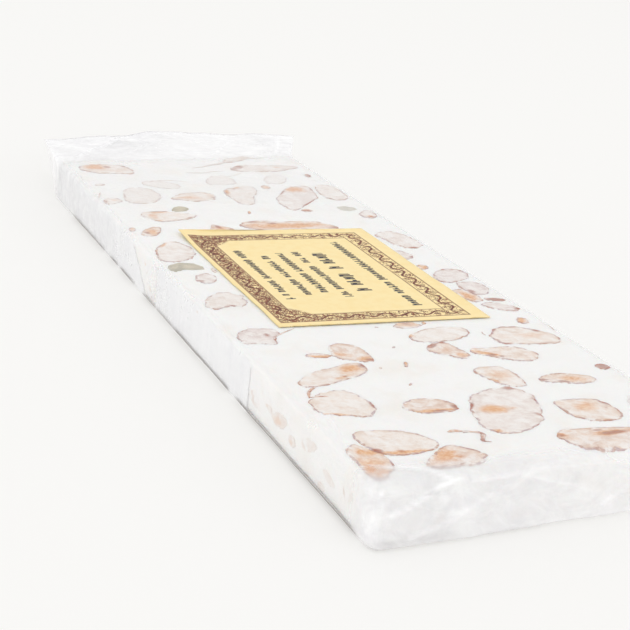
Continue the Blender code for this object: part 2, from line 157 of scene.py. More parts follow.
sample = noise(np.arange(500) * 0.37, 0.0, 1.0, 1)
print("noise spans", round(float(sample.min()), 2), "to", round(float(sample.max()), 2))

# %% [markdown]
# ## From grids of points to meshes
# Every new piece here is a closed skin: rings of points, one behind the other, with the first and the
# last ring drawn together to a point. A nut, a slab, a thread and a wrap all fit that. The faces are
# worked out from the ring and point numbers as one array, and each skin is turned so that its faces point
# outward, by the sign of its volume. Several skins can be joined in one piece, and each point can carry
# named values for the material.


# %% Rings to a closed skin
def skin_faces(rings, count):
    """Quads between neighbouring rings and a fan of triangles at each end, as arrays of point numbers."""
    column = np.arange(count)
    after = (column + 1) % count
    starts = 1 + np.arange(rings - 1)[:, None] * count
    corners = [starts + column, starts + after, starts + count + after, starts + count + column]
    quads = np.stack(corners, axis=-1)
    last = 1 + rings * count
    first_fan = np.stack([np.zeros(count, int), 1 + after, 1 + column], axis=-1)
    end = 1 + (rings - 1) * count
    last_fan = np.stack([np.full(count, last), end + column, end + after], axis=-1)
    return quads.reshape(-1, 4), np.concatenate([first_fan, last_fan])


def volume(points, quads, triangles):
    """Six times the volume: the sum of each triangle's box product, with quads split in two."""
    split = np.concatenate([triangles, quads[:, [0, 1, 2]], quads[:, [0, 2, 3]]])
    a, b, c = (points[split[:, index]] for index in range(3))
    return np.einsum("ij,ij->i", a, np.cross(b, c)).sum()


def closed_skin(rings, values=None):
    """A skin over an array of rings. values holds a grid of rings by points for each named value."""
    count = rings.shape[1]
    first, last = (rings[end].mean(axis=0)[None] for end in (0, -1))
    points = np.concatenate([first, rings.reshape(-1, 3), last])
    quads, triangles = skin_faces(len(rings), count)
    if volume(points - points.mean(axis=0), quads, triangles) < 0:
        quads, triangles = quads[:, ::-1], triangles[:, ::-1]
    named = {}
    for name, grid in (values or {}).items():
        grid = np.broadcast_to(grid, rings.shape[:2])
        named[name] = np.concatenate([[grid[0].mean()], grid.ravel(), [grid[-1].mean()]])
    return points, quads, triangles, named


def make_piece(name, skins, replaced=(), marks=None):
    """Joins closed skins in one mesh object, which rides on the body and may stand for solids of the frame.

    marks holds a function of all the points for each further named value.
    """
    offsets = np.cumsum([0] + [len(skin[0]) for skin in skins])
    points = np.concatenate([skin[0] for skin in skins])
    quads = np.concatenate([skin[1] + offset for skin, offset in zip(skins, offsets)])
    triangles = np.concatenate([skin[2] + offset for skin, offset in zip(skins, offsets)])
    mesh = bpy.data.meshes.new(name)
    mesh.vertices.add(len(points))
    mesh.vertices.foreach_set("co", points.ravel())
    corners = np.concatenate([quads.ravel(), triangles.ravel()])
    sizes = np.concatenate([np.full(len(quads), 4), np.full(len(triangles), 3)])
    mesh.loops.add(len(corners))
    mesh.loops.foreach_set("vertex_index", corners)
    mesh.polygons.add(len(sizes))
    mesh.polygons.foreach_set("loop_start", np.concatenate([[0], np.cumsum(sizes)[:-1]]))
    mesh.polygons.foreach_set("loop_total", sizes)
    mesh.polygons.foreach_set("use_smooth", np.ones(len(sizes), bool))
    named = {key: np.concatenate([skin[3][key] for skin in skins]) for key in skins[0][3]}
    named.update({key: mark(points) for key, mark in (marks or {}).items()})
    for key, values in named.items():
        mesh.attributes.new(key, "FLOAT", "POINT").data.foreach_set("value", values)
    mesh.update(calc_edges=True)
    piece = bpy.data.objects.new(name, mesh)
    bpy.context.scene.collection.objects.link(piece)
    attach(piece, "root")
    if replaced:
        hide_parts(*replaced)
    print(name, "has", len(points), "points and", 2 * len(quads) + len(triangles), "triangles")
    return piece


# %% [markdown]
# ## Shader maths as Python
# Node trees are quick to draw by hand and slow to read in code. Here one small class wraps a socket, so
# that an expression such as 1 - mask adds the Math nodes for it. Colours go through Mix nodes instead,
# because a Math node would turn them grey. Everything else comes from one method that adds any node.


# %% Sockets that can be added and multiplied
class Value:
    """One output socket of a material's nodes. Sums and products of it add Math nodes."""

    def __init__(self, finish, socket):
        self.finish, self.socket = finish, socket

    def maths(self, operation, *others, clamp=False):
        settings = {"operation": operation, "use_clamp": clamp}
        return self.finish.node("ShaderNodeMath", settings, dict(enumerate((self, *others))))

    def swapped(self, operation, other):
        return self.finish.node("ShaderNodeMath", {"operation": operation}, {0: other, 1: self})

    def __add__(self, other):
        return self.maths("ADD", other)

    def __sub__(self, other):
        return self.maths("SUBTRACT", other)

    def __mul__(self, other):
        return self.maths("MULTIPLY", other)

    def __truediv__(self, other):
        return self.maths("DIVIDE", other)

    def __rsub__(self, other):
        return self.swapped("SUBTRACT", other)

    __radd__, __rmul__ = __add__, __mul__

    def size(self):
        return self.maths("ABSOLUTE")

    def sine(self, length):
        """A wave from -1 to 1 that repeats after a length."""
        return (self * (2 * math.pi / length)).maths("SINE")

    def band(self, low, high):
        """A smooth step from 0 at low to 1 at high."""
        return self.finish.node("ShaderNodeMapRange", {"interpolation_type": "SMOOTHSTEP"},
                                {"Value": self, "From Min": low, "From Max": high})

    def within(self, half, soft):
        """1 where the value's size is under half, with a soft edge outside that."""
        return self.size().band(half + soft, half)

    def either(self, other):
        return self.maths("MAXIMUM", other)

    def least(self, other):
        return self.maths("MINIMUM", other)

    def kept(self):
        return self.maths("ADD", 0.0, clamp=True)


class Finish:
    """A material under construction, with its Principled shader and one method for any other node."""

    def __init__(self, name, **constants):
        self.material = bpy.data.materials.new(name)
        self.material.use_nodes = True
        self.tree = self.material.node_tree
        self.shader = self.tree.nodes["Principled BSDF"]
        for key, value in constants.items():
            self.shader.inputs[key.replace("_", " ")].default_value = value

    def node(self, kind, settings=None, inputs=None, output=0):
        """Adds a node of a type, with its settings first and then its inputs' values or links."""
        made = self.tree.nodes.new(kind)
        for key, value in (settings or {}).items():
            setattr(made, key, value)
        for key, value in (inputs or {}).items():
            self.put(made.inputs[key], value)
        return Value(self, made.outputs[output])

    def put(self, socket, value):
        """Links a socket to a value, or sets it to a number or a colour."""
        if isinstance(value, Value):
            self.tree.links.new(value.socket, socket)
        else:
            socket.default_value = value

    def place(self, scale=(1, 1, 1), offset=(0, 0, 0)):
        """Object coordinates in mm, measured from an offset in metres and scaled."""
        spot = self.node("ShaderNodeTexCoord", output="Object")
        moved = self.node("ShaderNodeVectorMath", {"operation": "SUBTRACT"}, {0: spot, 1: offset})
        factors = tuple(value / MM for value in scale)
        return self.node("ShaderNodeVectorMath", {"operation": "MULTIPLY"}, {0: moved, 1: factors})

    def parts(self, vector):
        split = self.node("ShaderNodeSeparateXYZ", inputs={0: vector}).socket.node
        return [Value(self, output) for output in split.outputs]

    def joined(self, x, y, z=0.0):
        return self.node("ShaderNodeCombineXYZ", inputs={0: x, 1: y, 2: z})

    def noise(self, vector, per_mm, detail=4.0, rough=0.55, warp=0.0):
        inputs = {"Vector": vector, "Scale": per_mm, "Detail": detail, "Roughness": rough}
        return self.node("ShaderNodeTexNoise", inputs={**inputs, "Distortion": warp})

    def random(self, vector):
        return self.node("ShaderNodeTexWhiteNoise", {"noise_dimensions": "2D"}, {"Vector": vector})

    def attribute(self, name):
        return self.node("ShaderNodeAttribute", {"attribute_name": name}, output="Fac")

    def mix(self, share, first, second):
        """One colour turning into another, by a share from 0 to 1. A colour is a value or three levels."""
        made = self.tree.nodes.new("ShaderNodeMix")
        made.data_type = "RGBA"
        self.put(made.inputs["Factor"], share)
        colours = [socket for socket in made.inputs if socket.type == "RGBA"]
        for socket, colour in zip(colours, (first, second)):
            self.put(socket, colour if isinstance(colour, Value) else paint(*colour))
        return Value(self, next(socket for socket in made.outputs if socket.type == "RGBA"))

    def bump(self, height, depth):
        return self.node("ShaderNodeBump", inputs={"Height": height, "Distance": depth})

    def wear(self, *pieces, **links):
        """Links the shader's varying inputs and gives the finish to pieces."""
        for key, value in links.items():
            self.put(self.shader.inputs[key.replace("_", " ")], value)
        for piece in pieces:
            piece.data.materials.clear()
            piece.data.materials.append(self.material)


def paint(red, green, blue):
    """A colour as the photo shows it, in levels from 0 to 255, turned into linear light."""
    levels = np.array([red, green, blue]) / 255
    linear = np.where(levels <= 0.04045, levels / 12.92, ((levels + 0.055) / 1.055) ** 2.4)
    return (*(float(value) for value in linear), 1.0)


print("white nougat in linear light:", [round(value, 3) for value in paint(246, 244, 240)])

# %% [markdown]
# ## The nuts' outlines
# Each nut of the solid model is half an egg, and its flat top face is where the saw went through it. The
# corners of that face are read from the frame. They are turned into a wave: the distance from the nut's
# middle at each of 80 angles. A few fine harmonics are added, because a sawn nut has small nicks.

# %% Outlines as distances from the middle
AROUND = 80
ANGLES = np.arange(AROUND) * 2 * np.pi / AROUND
RAYS = np.stack([np.cos(ANGLES), np.sin(ANGLES)], axis=-1)
RIM_SHARE = 0.96
SIDE_LIMIT = 29.3 * MM
NICK_WAVES = range(4, 34)
NUT_NICKS, CHIP_NICKS = 0.011, 0.03
rng = np.random.default_rng(7)


def nicks(height):
    """Fine waves round an outline, each with a random phase and a height that falls with its number."""
    total = np.zeros(AROUND)
    for harmonic in NICK_WAVES:
        wave = rng.normal() * np.cos(harmonic * ANGLES + rng.uniform(0, 2 * np.pi))
        total += wave * (NICK_WAVES[0] / harmonic) ** 0.6
    return 1 + height * total


def crossed(a, b):
    return a[..., 0] * b[..., 1] - a[..., 1] * b[..., 0]


def outline_of(start):
    """The area's middle, and how far the ray at each angle goes to a side: (start x side) / (ray x side)."""
    side = np.roll(start, -1, axis=0) - start
    twice = crossed(start, start + side)
    middle = ((2 * start + side) * twice[:, None]).sum(axis=0) / twice.sum() / 3
    turned = crossed(RAYS[:, None], side[None])
    turned = np.where(np.abs(turned) < 1e-12, 1e-12, turned)
    reach = crossed(start - middle, side) / turned
    share = crossed((start - middle)[None], RAYS[:, None]) / turned
    reach = np.where((share >= 0) & (share <= 1), reach, 0).max(axis=1)
    reach = (np.roll(reach, 1) + 3 * reach + np.roll(reach, -1)) / 5
    return middle, reach * nicks(NUT_NICKS)


def rim_of(node):
    """The corners of a nut's flat top face, in order round it, spread to the egg's widest ring under it."""
    points = points_of(node)
    rim = np.unique(points[points[:, 2] > THICK - 1e-6][:, :2].round(6), axis=0)
    middle = (rim.min(axis=0) + rim.max(axis=0)) / 2
    spokes = rim - middle
    spread = middle + spokes[np.argsort(np.arctan2(spokes[:, 1], spokes[:, 0]))] / RIM_SHARE
    return np.clip(spread, ZERO[:2] - (SIDE_LIMIT, 1), ZERO[:2] + (SIDE_LIMIT, 1))


def oval(u, v, half_long, half_short, turn=0.0):
    """The outline of a small piece that only the scene holds: an ellipse in mm, with nicks."""
    phase = ANGLES - math.radians(turn)
    reach = 1 / np.hypot(np.cos(phase) / half_long, np.sin(phase) / half_short)
    return np.array([u, v]) * MM, reach * MM * nicks(CHIP_NICKS)


def from_label(u, v, *sizes):
    """An oval on the top face, placed from the label's middle."""
    middle, reach = oval(u, v, *sizes)
    return middle + ZERO[:2], reach


ALMOND_NODES = sorted(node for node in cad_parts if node.startswith("almond"))
PISTACHIO_NODES = sorted(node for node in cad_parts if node.startswith("pistachio"))
OUTLINES = {node: outline_of(rim_of(node)) for node in ALMOND_NODES + PISTACHIO_NODES}
longest = max(reach.max() for _middle, reach in OUTLINES.values())
print(len(OUTLINES), "nuts, the furthest rim point", round(longest / MM, 1), "mm from its middle")

# %% [markdown]
# ## Where the nuts are toasted, and where skin shows
# A sawn almond is pale, with a thin brown skin round it that is thick in places and gone in others.
# Toasting leaves orange patches. These are the marks seen in the photo, as soft ellipses in mm from the
# label's middle: across, along, half length, half width, turn in degrees and strength. Each point of a
# nut takes the strongest one there.

# %% Marks seen on the nuts
ORANGE_SPOTS = np.array([
    (-15.6, -48.6, 2.4, 1.5, 30, 0.8), (-14.5, -42.4, 1.8, 1.2, -20, 0.55),
    (-11.4, -44.8, 1.6, 0.9, 20, 0.7), (-18.6, -42.7, 2.2, 0.5, -8, 0.95),
    (-25.4, -65.9, 2.2, 0.5, -12, 0.7), (-9.5, -67, 3.2, 0.55, 0, 0.9), (-0.3, -68, 2.3, 1.5, 0, 0.8),
    (-4.2, -75.8, 1, 0.7, 0, 0.7), (-3, -76.6, 0.7, 0.4, 0, 0.6), (15, -69.5, 2.4, 1.6, 20, 0.6),
    (15, -75, 3, 0.5, 0, 0.4), (13.5, -79.3, 3.6, 0.9, 5, 0.8), (5, -78.9, 0.7, 0.9, 0, 0.9),
    (6.6, -77.4, 0.9, 0.5, 0, 0.6), (-26.6, -79.2, 1.8, 0.8, -20, 0.9), (-20.8, -80.3, 4.2, 0.6, -3, 0.85),
    (-29.8, -85.4, 1.5, 1.2, 30, 0.85), (-26.8, -86.2, 1.6, 0.7, 25, 0.8), (-27.5, -83, 2.6, 2, 0, 0.6),
    (-28.6, -84.6, 1.2, 0.8, 0, 0.9), (-16.2, -82.3, 2.4, 1.4, 45, 0.95), (-13.9, -83, 1, 0.9, 0, 0.6),
    (-18.6, -84.6, 1.2, 0.8, 20, 0.5), (23, -38.2, 3, 1.6, 10, 0.4), (17, -41.4, 1.3, 0.6, 0, 0.4),
    (11.2, -45.8, 1.6, 0.6, -35, 0.8), (8.6, -43.2, 0.8, 1.1, -30, 0.8), (9.9, -45, 0.7, 0.7, 0, 0.9),
    (6, -45.6, 1.1, 1.2, 0, 0.7), (4.3, -42.8, 1.5, 1.4, 0, 0.35), (13, -45, 2, 1.2, 0, 0.3),
    (7.8, -54.8, 2, 3, 10, 0.45), (5.9, -57.6, 0.5, 1.2, 0, 0.6), (19.5, -58.3, 3, 1.4, -10, 0.55),
    (-17.9, -51.7, 3, 0.5, 25, 0.5), (1.2, -35.4, 0.5, 1, -30, 0.6), (9.9, -37.5, 1.6, 0.4, 25, 0.6),
    (25.9, -30.9, 1.2, 1.5, 0, 0.9), (3.2, -29.6, 2.4, 1, 0, 0.95), (-28.5, 16.5, 0.5, 3, -15, 0.6),
    (-25.4, 21, 0.5, 1.8, -30, 0.6), (21.8, 1.8, 1.1, 1.3, 0, 0.95), (22.3, -16.2, 1.2, 2.8, 0, 0.75),
    (25.7, 14.7, 1.2, 0.4, 0, 0.5), (4.5, 32.5, 9, 2, 0, 0.75), (7.5, 32.3, 3, 1.4, 0, 0.9),
    (-10, 31.3, 1.5, 1.6, 0, 0.6), (-25, 30, 1.2, 2, 0, 0.7), (17.5, 62.3, 2.6, 2.4, 0, 0.8),
    (1, 60, 0.6, 2, -15, 0.8), (4.3, 64, 1.5, 0.8, 0, 0.6), (-9, 56, 3.2, 1.6, 0, 0.45),
    (-4, 58, 0.5, 2, 0, 0.5), (-21.5, 41.5, 1, 2, 0, 0.5), (-19.5, 44.2, 2.2, 0.7, 0, 0.6),
    (-21, 38, 0.6, 0.6, 0, 0.7), (26.8, 38.6, 0.9, 0.9, 0, 0.6), (-23, 84, 2.2, 2.2, 0, 0.85),
    (-19, 79.8, 2, 1.2, 0, 0.3), (21.5, 83, 1, 0.8, 0, 0.5), (14, 44.4, 1, 0.6, 0, 0.8),
    (12, 64, 1, 1.5, 0, 0.5), (-26.5, 54.5, 1, 1, 0, 0.4), (-29, 32.5, 0.7, 1.3, -15, 0.8),
    (-5.6, -48, 0.5, 1, -20, 0.9), (0.3, 43.3, 0.4, 1, -15, 0.9), (6.5, -29.4, 0.4, 0.7, 0, 0.8),
])
DARK_SPOTS = np.array([
    (-13.2, -47.8, 0.5, 1.2, 10, 0.8), (-10.9, -45.3, 0.8, 0.6, 0, 0.8), (-17.8, -51.6, 0.6, 0.4, 0, 0.7),
    (-24, -50.2, 2.5, 0.4, 48, 0.35), (-24.6, -55.4, 0.7, 0.5, 0, 0.8), (-25, -58.9, 1.6, 0.3, 0, 0.5),
    (-23.5, -31.7, 0.5, 0.9, 0, 0.8), (-22.7, -34.2, 0.4, 1.8, -12, 0.8), (-20.2, -31, 1.6, 0.4, 40, 0.7),
    (-18.5, -63.5, 0.35, 1.6, 3, 0.7), (-8.8, -67.2, 1.5, 0.4, 0, 0.85), (-5.9, -66.3, 0.6, 1.2, 20, 0.9),
    (-6.4, -64, 0.4, 0.8, -40, 0.6), (-3.3, -66.3, 0.35, 2, -35, 0.8), (6.4, -60.5, 1.1, 0.7, 0, 0.85),
    (8.3, -66.2, 0.4, 2.4, 12, 0.7), (5.9, -71.6, 0.4, 1.5, 25, 0.7), (2.5, -75.4, 2, 0.3, 30, 0.5),
    (-1.2, -77, 1.5, 0.3, 0, 0.5), (19, -68.8, 0.6, 1.2, 30, 0.7), (18, -70.6, 0.3, 1.3, -30, 0.6),
    (19.4, -72, 0.3, 1.5, 0, 0.5), (10.6, -69.5, 0.3, 2.2, 0, 0.5), (11.8, -73.5, 1, 0.4, -40, 0.5),
    (15.5, -75.1, 2.5, 0.3, 0, 0.5), (14, -79.4, 2.6, 0.6, 5, 0.9), (11.4, -78.2, 0.9, 0.4, 0, 0.7),
    (4.9, -79, 0.4, 0.6, 0, 0.8), (-24.7, -79.2, 0.6, 0.8, 0, 0.9), (-21.4, -79.9, 0.6, 0.5, 0, 0.6),
    (-16, -74.8, 2.2, 0.3, -40, 0.5), (-20, -81, 3.5, 0.25, 0, 0.5), (-24.6, -84.3, 0.3, 1.2, -10, 0.9),
    (-29.8, -86, 0.8, 0.4, 0, 0.5), (-13.7, -83, 0.8, 0.8, 0, 0.5), (-17.7, -85.6, 0.9, 0.3, 25, 0.7),
    (-11, -81.2, 0.3, 1.6, 40, 0.6), (-12.8, -79.6, 0.6, 0.5, 0, 0.5), (18, -34.2, 1.4, 0.4, 55, 0.9),
    (21.5, -33.5, 2.4, 0.35, -3, 0.8), (25.5, -35.9, 0.8, 0.6, 0, 0.95), (16.2, -36.5, 1.2, 0.3, 50, 0.6),
    (17, -41.4, 1, 0.35, 0, 0.8), (15.8, -39.8, 0.3, 0.9, 0, 0.7), (19.5, -38.2, 0.4, 0.3, 0, 0.5),
    (24.6, -41.9, 1, 0.3, 0, 0.6), (2.8, -40.6, 1.8, 0.5, 38, 0.95), (5.4, -39.4, 1, 0.4, 0, 0.8),
    (5.9, -46, 0.8, 0.8, 0, 0.5), (11.3, -46.1, 0.6, 0.5, 0, 0.95), (12.6, -47, 0.5, 0.4, 0, 0.8),
    (10, -45, 0.3, 0.3, 0, 0.7), (19.3, -46.8, 0.3, 2, 0, 0.5), (16.5, -49.5, 2, 0.3, 0, 0.5),
    (4.5, -53, 0.35, 0.8, 0, 0.5), (10.4, -58.8, 0.35, 1.2, 0, 0.5), (6.3, -57.5, 0.4, 0.7, 0, 0.4),
    (14.4, -58, 1.1, 0.45, 0, 0.85), (17, -59.1, 1.2, 0.4, -25, 0.85), (23, -57.6, 0.3, 0.5, 0, 0.5),
    (27.9, -54, 1.3, 1.3, 0, 0.85), (24.8, -31.6, 0.5, 0.7, 0, 0.7), (12.6, -35, 0.35, 1.2, -15, 0.6),
    (9.8, -37.6, 0.8, 0.3, 20, 0.5), (5, -32.9, 3, 0.2, 20, 0.4), (3.2, -29.6, 1, 0.7, 0, 0.6),
    (-25.3, -2.2, 0.7, 0.5, 0, 0.7), (-23, -3, 0.8, 0.4, 0, 0.4), (-24.2, -16.3, 1, 0.3, -15, 0.7),
    (-27.9, -17.6, 0.8, 0.4, 0, 0.5), (25.7, 14.7, 1, 0.4, 0, 0.9), (22, 24, 0.6, 0.8, 0, 0.4),
    (22.5, 8.6, 0.9, 0.6, 40, 0.7), (28.5, -1.3, 0.6, 0.5, 0, 0.8), (25, -0.3, 0.6, 0.4, 0, 0.7),
    (26.8, -0.5, 0.5, 0.4, 0, 0.6), (21.5, -7.3, 0.7, 0.4, 0, 0.7), (24.3, -13.7, 0.8, 1, 0, 0.8),
    (26.6, -18.7, 1.9, 0.8, -15, 0.95), (28.2, -24.4, 0.8, 0.4, 30, 0.8), (-28.5, 15.5, 0.35, 3, -10, 0.6),
    (-26.6, 19.8, 0.35, 1.6, -35, 0.5), (-2, 35.6, 1, 0.8, 0, 0.8), (2.3, 34.5, 1, 0.6, 0, 0.95),
    (14.7, 30.4, 0.8, 0.8, 0, 0.9), (-2, 31.4, 0.8, 0.8, 0, 0.7), (9, 33, 2, 0.6, 0, 0.5),
    (-5, 33, 0.6, 1, 0, 0.6), (-10.4, 32.6, 0.6, 1.2, 0, 0.9), (-8.2, 30, 0.6, 1, 0, 0.8),
    (-26.4, 29.3, 0.6, 0.9, 0, 0.8), (-24.6, 31.8, 0.4, 1, 0, 0.5), (14, 59.3, 0.5, 2.2, -32, 0.8),
    (22.3, 62.2, 0.4, 1.6, -10, 0.8), (21.3, 55.5, 0.4, 2, -10, 0.6), (17, 50, 0.35, 4.5, -45, 0.9),
    (11.6, 52.5, 0.4, 1, 0, 0.6), (10.8, 54.5, 0.3, 1, 0, 0.5), (23.5, 53.6, 0.7, 0.5, 0, 0.7),
    (26, 52.2, 1.5, 0.3, 0, 0.6), (28.4, 55, 0.3, 1.5, 0, 0.6), (3.6, 62.6, 0.5, 1.2, -30, 0.7),
    (0.8, 59.5, 0.4, 1.5, -10, 0.5), (-4.1, 59.6, 0.4, 0.6, 0, 0.6), (-3.8, 55.5, 0.35, 1.2, 10, 0.7),
    (-23.2, 57.5, 0.35, 3.5, -10, 0.5), (-18.7, 65.1, 1.6, 0.35, 0, 0.5), (-28.6, 53, 0.5, 1.4, -25, 0.6),
    (-19.5, 44.7, 2.8, 0.3, 0, 0.7), (-14, 39.9, 1.2, 0.4, 30, 0.7), (-17.5, 38.3, 2, 0.4, 10, 0.4),
    (-23.3, 42, 0.3, 1.5, 0, 0.4), (26.8, 38.2, 0.6, 0.5, 0, 0.8), (-20.5, 83.7, 0.7, 1, 20, 0.9),
    (-16.4, 84, 0.6, 0.8, 0, 0.8), (-15.3, 81, 0.3, 2, 0, 0.5), (11.3, 82.5, 2.8, 0.8, 50, 0.95),
    (22.8, 81.4, 0.7, 0.5, 0, 0.5), (26.8, 83.2, 0.8, 0.4, 0, 0.4), (17, 84, 1, 0.4, 0, 0.3),
    (0.1, 70.5, 0.3, 2, -10, 0.5), (6.1, 73.5, 0.3, 1.2, 0, 0.4), (6.4, 69.5, 0.3, 1.5, 0, 0.5),
    (14.1, 69.5, 0.4, 1.8, -5, 0.5), (14, 43.8, 0.9, 0.6, 0, 0.9), (26.6, 74.5, 0.7, 1.8, -15, 0.8),
])


def strongest_mark(marks, side_marks):
    """A function of points: the strongest mark at each, its strength times exp(-d^2), with a ragged edge.

    marks lie on the top face, and side_marks on the left side, along the slab and up.
    """
    def over(u, v, listed):
        ragged = 1 + 0.8 * noise(u, v, 1.1, 17, octaves=3)
        best = np.zeros(len(u))
        for x, y, half_long, half_short, turn, strength in listed:
            angle = math.radians(turn)
            along = (u - x) * math.cos(angle) + (v - y) * math.sin(angle)
            aside = (v - y) * math.cos(angle) - (u - x) * math.sin(angle)
            far = ((along / half_long) ** 2 + (aside / half_short) ** 2) * ragged
            best = np.maximum(best, strength * np.exp(-0.7 * far))
        return best

    def share(points):
        u, v, w = in_mm(points)
        on_side = u < -HALF / MM - 0.01
        return np.where(on_side, over(v, w, side_marks), over(u, v, marks) * (w > THICK / MM - 2))
    return share


SIDE_TOAST = [
    (-50.0, 5.6, 1.2, 0.6, 20, 0.7), (-55.0, 4.0, 1.6, 0.6, -10, 0.8), (-61.0, 3.0, 0.8, 0.5, 0, 0.6),
    (13.5, 2.9, 0.8, 0.5, 10, 0.6), (17.5, 6.6, 0.9, 0.6, 0, 0.8),
]
SIDE_SKIN = [
    (12.3, 1.2, 0.9, 0.8, 0, 1.4), (-52.2, 4.6, 0.5, 0.3, 30, 0.6), (16.2, 5.2, 0.4, 0.3, 0, 0.7),
]
NUT_MARKS = {
    "toast": strongest_mark(ORANGE_SPOTS, SIDE_TOAST),
    "skin": strongest_mark(DARK_SPOTS, SIDE_SKIN),
}
print(len(ORANGE_SPOTS), "toasted marks and", len(DARK_SPOTS), "marks of skin")

# %% [markdown]
# ## A nut in section
# A nut is a shallow closed disc that follows its outline: rings of points from the middle out to the rim,
# over the rim's thin raised skin, and back underneath. Each point knows how far it lies inside the
# outline, so that the finish can lay the skin along the rim. The same disc can lie on any face of the
# slab, given a function that lays flat points there.

# %% Nut discs on each face
INNER_SHARES = (0.1, 0.25, 0.4, 0.55, 0.68, 0.8)
RIM_STEPS = ((0.75, 0.03), (0.55, 0.03), (0.4, 0.035), (0.28, 0.05), (0.18, 0.06), (0.08, 0.045), (0.0, 0.0),
             (-0.02, -0.25), (0.0, -0.5))
UNDER_SHARES = ((0.7, -0.66), (0.3, -0.74))
FLESH_LIFT = 0.03
FULL_SIZE = 2.2 * MM
RIM_ROOM = 0.8 * MM
RIMLESS_INSET = 0.9
NUT_ROUGH = 0.02 * MM
BLOCK_LOW = 0.15 * MM
NEAR_TURN = 2.4 * MM
NEAR_TURN_TOP = THICK - 1.2 * MM


def top_of(x, y):
    """Height of the sawn face: level, but turned down along a quarter of an ellipse at the near end."""
    short = np.clip(1 - (y - near_end(x, NEAR_TURN_TOP)) / NEAR_TURN, 0, 1)
    return THICK - NEAR_TURN * (1 - np.sqrt(1 - short**2))


def on_top(flat, lift):
    return np.concatenate([flat, (top_of(flat[..., 0], flat[..., 1]) + lift)[..., None]], axis=-1)


def on_bottom(flat, lift):
    return np.concatenate([flat, BLOCK_LOW - lift[..., None]], axis=-1)


def on_left(flat, lift):
    """Flat points hold the place along the slab and the height."""
    return np.stack([ZERO[0] - HALF - lift, flat[..., 0] + ZERO[1], flat[..., 1]], axis=-1)


def on_near_end(flat, lift):
    """Flat points hold the place across the slab and the height."""
    x, z = flat[..., 0] + ZERO[0], flat[..., 1]
    return np.stack([x, near_end(x, z) - lift, z], axis=-1)


def nut(outline, tone, lay=on_top, depth=1.0, rimless=False, veil=0.0):
    """Rings at shares of the reach, then at steps in from the rim, then at shares below, each with a height.

    Heights and steps are in mm, and finer on a nut under full size. A rimless nut counts as all inner flesh,
    for the ones that lie half covered in the sides. A veil of nougat smeared over the cut whitens a nut.
    """
    middle, reach = outline
    fine = min(1.0, reach.mean() / FULL_SIZE)
    room = RIM_ROOM * fine
    rings = [(reach * share, FLESH_LIFT) for share in INNER_SHARES if (1 - share) * reach.min() > room]
    rings += [(reach - inset * fine * MM, height * fine) for inset, height in RIM_STEPS]
    rings += [(reach * share, height) for share, height in UNDER_SHARES]
    radius = np.array([ring[0] for ring in rings])
    height = np.array([ring[1] * (depth if ring[1] < 0 else 1) for ring in rings])[:, None] * MM
    flat = middle + radius[..., None] * RAYS
    rough = noise(flat[..., 0], flat[..., 1], 1.6 * MM, 11) * NUT_ROUGH * (height > 0)
    inset = np.where(height >= 0, (reach - radius) / MM, 0) + (RIMLESS_INSET if rimless else 0)
    shares = {"inset": inset, "tone": np.full((1, 1), tone), "veil": np.full((1, 1), veil)}
    return closed_skin(lay(flat, height + rough), shares)


# %% Almonds, from mauve through cream to tan
TONES = {
    1: 0.4, 2: -0.35, 3: -0.2, 4: -0.1, 5: -0.1, 6: -0.25, 7: -0.45, 8: -0.2, 9: 0.3, 10: -0.2, 11: -0.2,
    12: 0.2, 13: -0.4, 14: 0.9, 15: 1.0, 16: 0.8, 17: -0.3, 18: -0.3, 19: -0.5, 20: -0.5, 21: -0.6,
    22: -0.7, 23: 0.55, 24: -0.25, 25: -0.6, 26: 0.4, 27: -0.8, 28: -0.15, 29: 0.4, 30: 1.0, 31: 0.5,
    32: 0.9, 33: 0.45, 34: 0.5, 35: 0.6, 36: 0.3, 37: 1.0, 38: -0.4, 39: 0.3, 40: 0.6, 41: 0.35, 42: 0.7,
    43: 0.9, 44: 1.0, 45: 0.4,
}
VEILS = {3: 0.5, 4: 0.6, 5: 0.55, 10: 0.3, 26: 0.3, 39: 0.7}
CHIPS = [
    (-18.6, -42.2, 2.2, 1.0, -8), (27.8, -54.0, 1.3, 1.2), (25.8, -30.6, 1.7, 1.1, 70),
    (21.6, 1.9, 1.6, 1.2, 60), (26.6, -18.7, 2.0, 0.8, -15), (-28.7, 32.0, 1.4, 0.7, 75),
    (14.0, 44.0, 1.3, 1.1), (26.5, 74.7, 1.8, 0.7, 75), (11.9, 64.3, 1.7, 1.1, 70),
    (-5.6, -48.0, 1.2, 0.35, 70), (0.3, 43.2, 1.1, 0.35, 75), (6.6, -29.5, 0.8, 0.4, 70),
    (-2.9, -30.5, 0.35, 0.3), (-4.2, -40.3, 0.5, 0.25, 50), (-8.7, -56.3, 0.6, 0.22, 45),
    (-10.6, -49.0, 0.5, 0.3, 60), (-20.9, 3.8, 1.4, 0.4, 90), (-20.8, -11.6, 0.8, 0.4, 90),
    (-26.2, 67.6, 1.2, 0.8, 20), (14.0, 91.2, 5.0, 1.6, 35), (-8.7, -75.0, 0.8, 0.3, -10),
]
LEFT_CHIPS = [
    (-50.5, 5.2, 2.6, 0.9, 20), (-55.8, 4.4, 3.2, 1.1, -10), (-61.2, 3.3, 1.3, 0.8), (-73.2, 1.5, 1.2, 0.6),
    (13.2, 2.6, 1.1, 0.6, 10), (-14.6, 7.6, 0.5, 0.3), (-45.0, 3.6, 2.0, 1.1, 10),
    (-67.5, 5.4, 2.8, 1.0, -15), (-75.5, 3.8, 2.4, 0.7, 8), (-82.0, 4.6, 1.6, 1.2), (12.3, 1.3, 0.8, 0.7),
    (17.0, 6.0, 1.4, 1.0, 60),
]
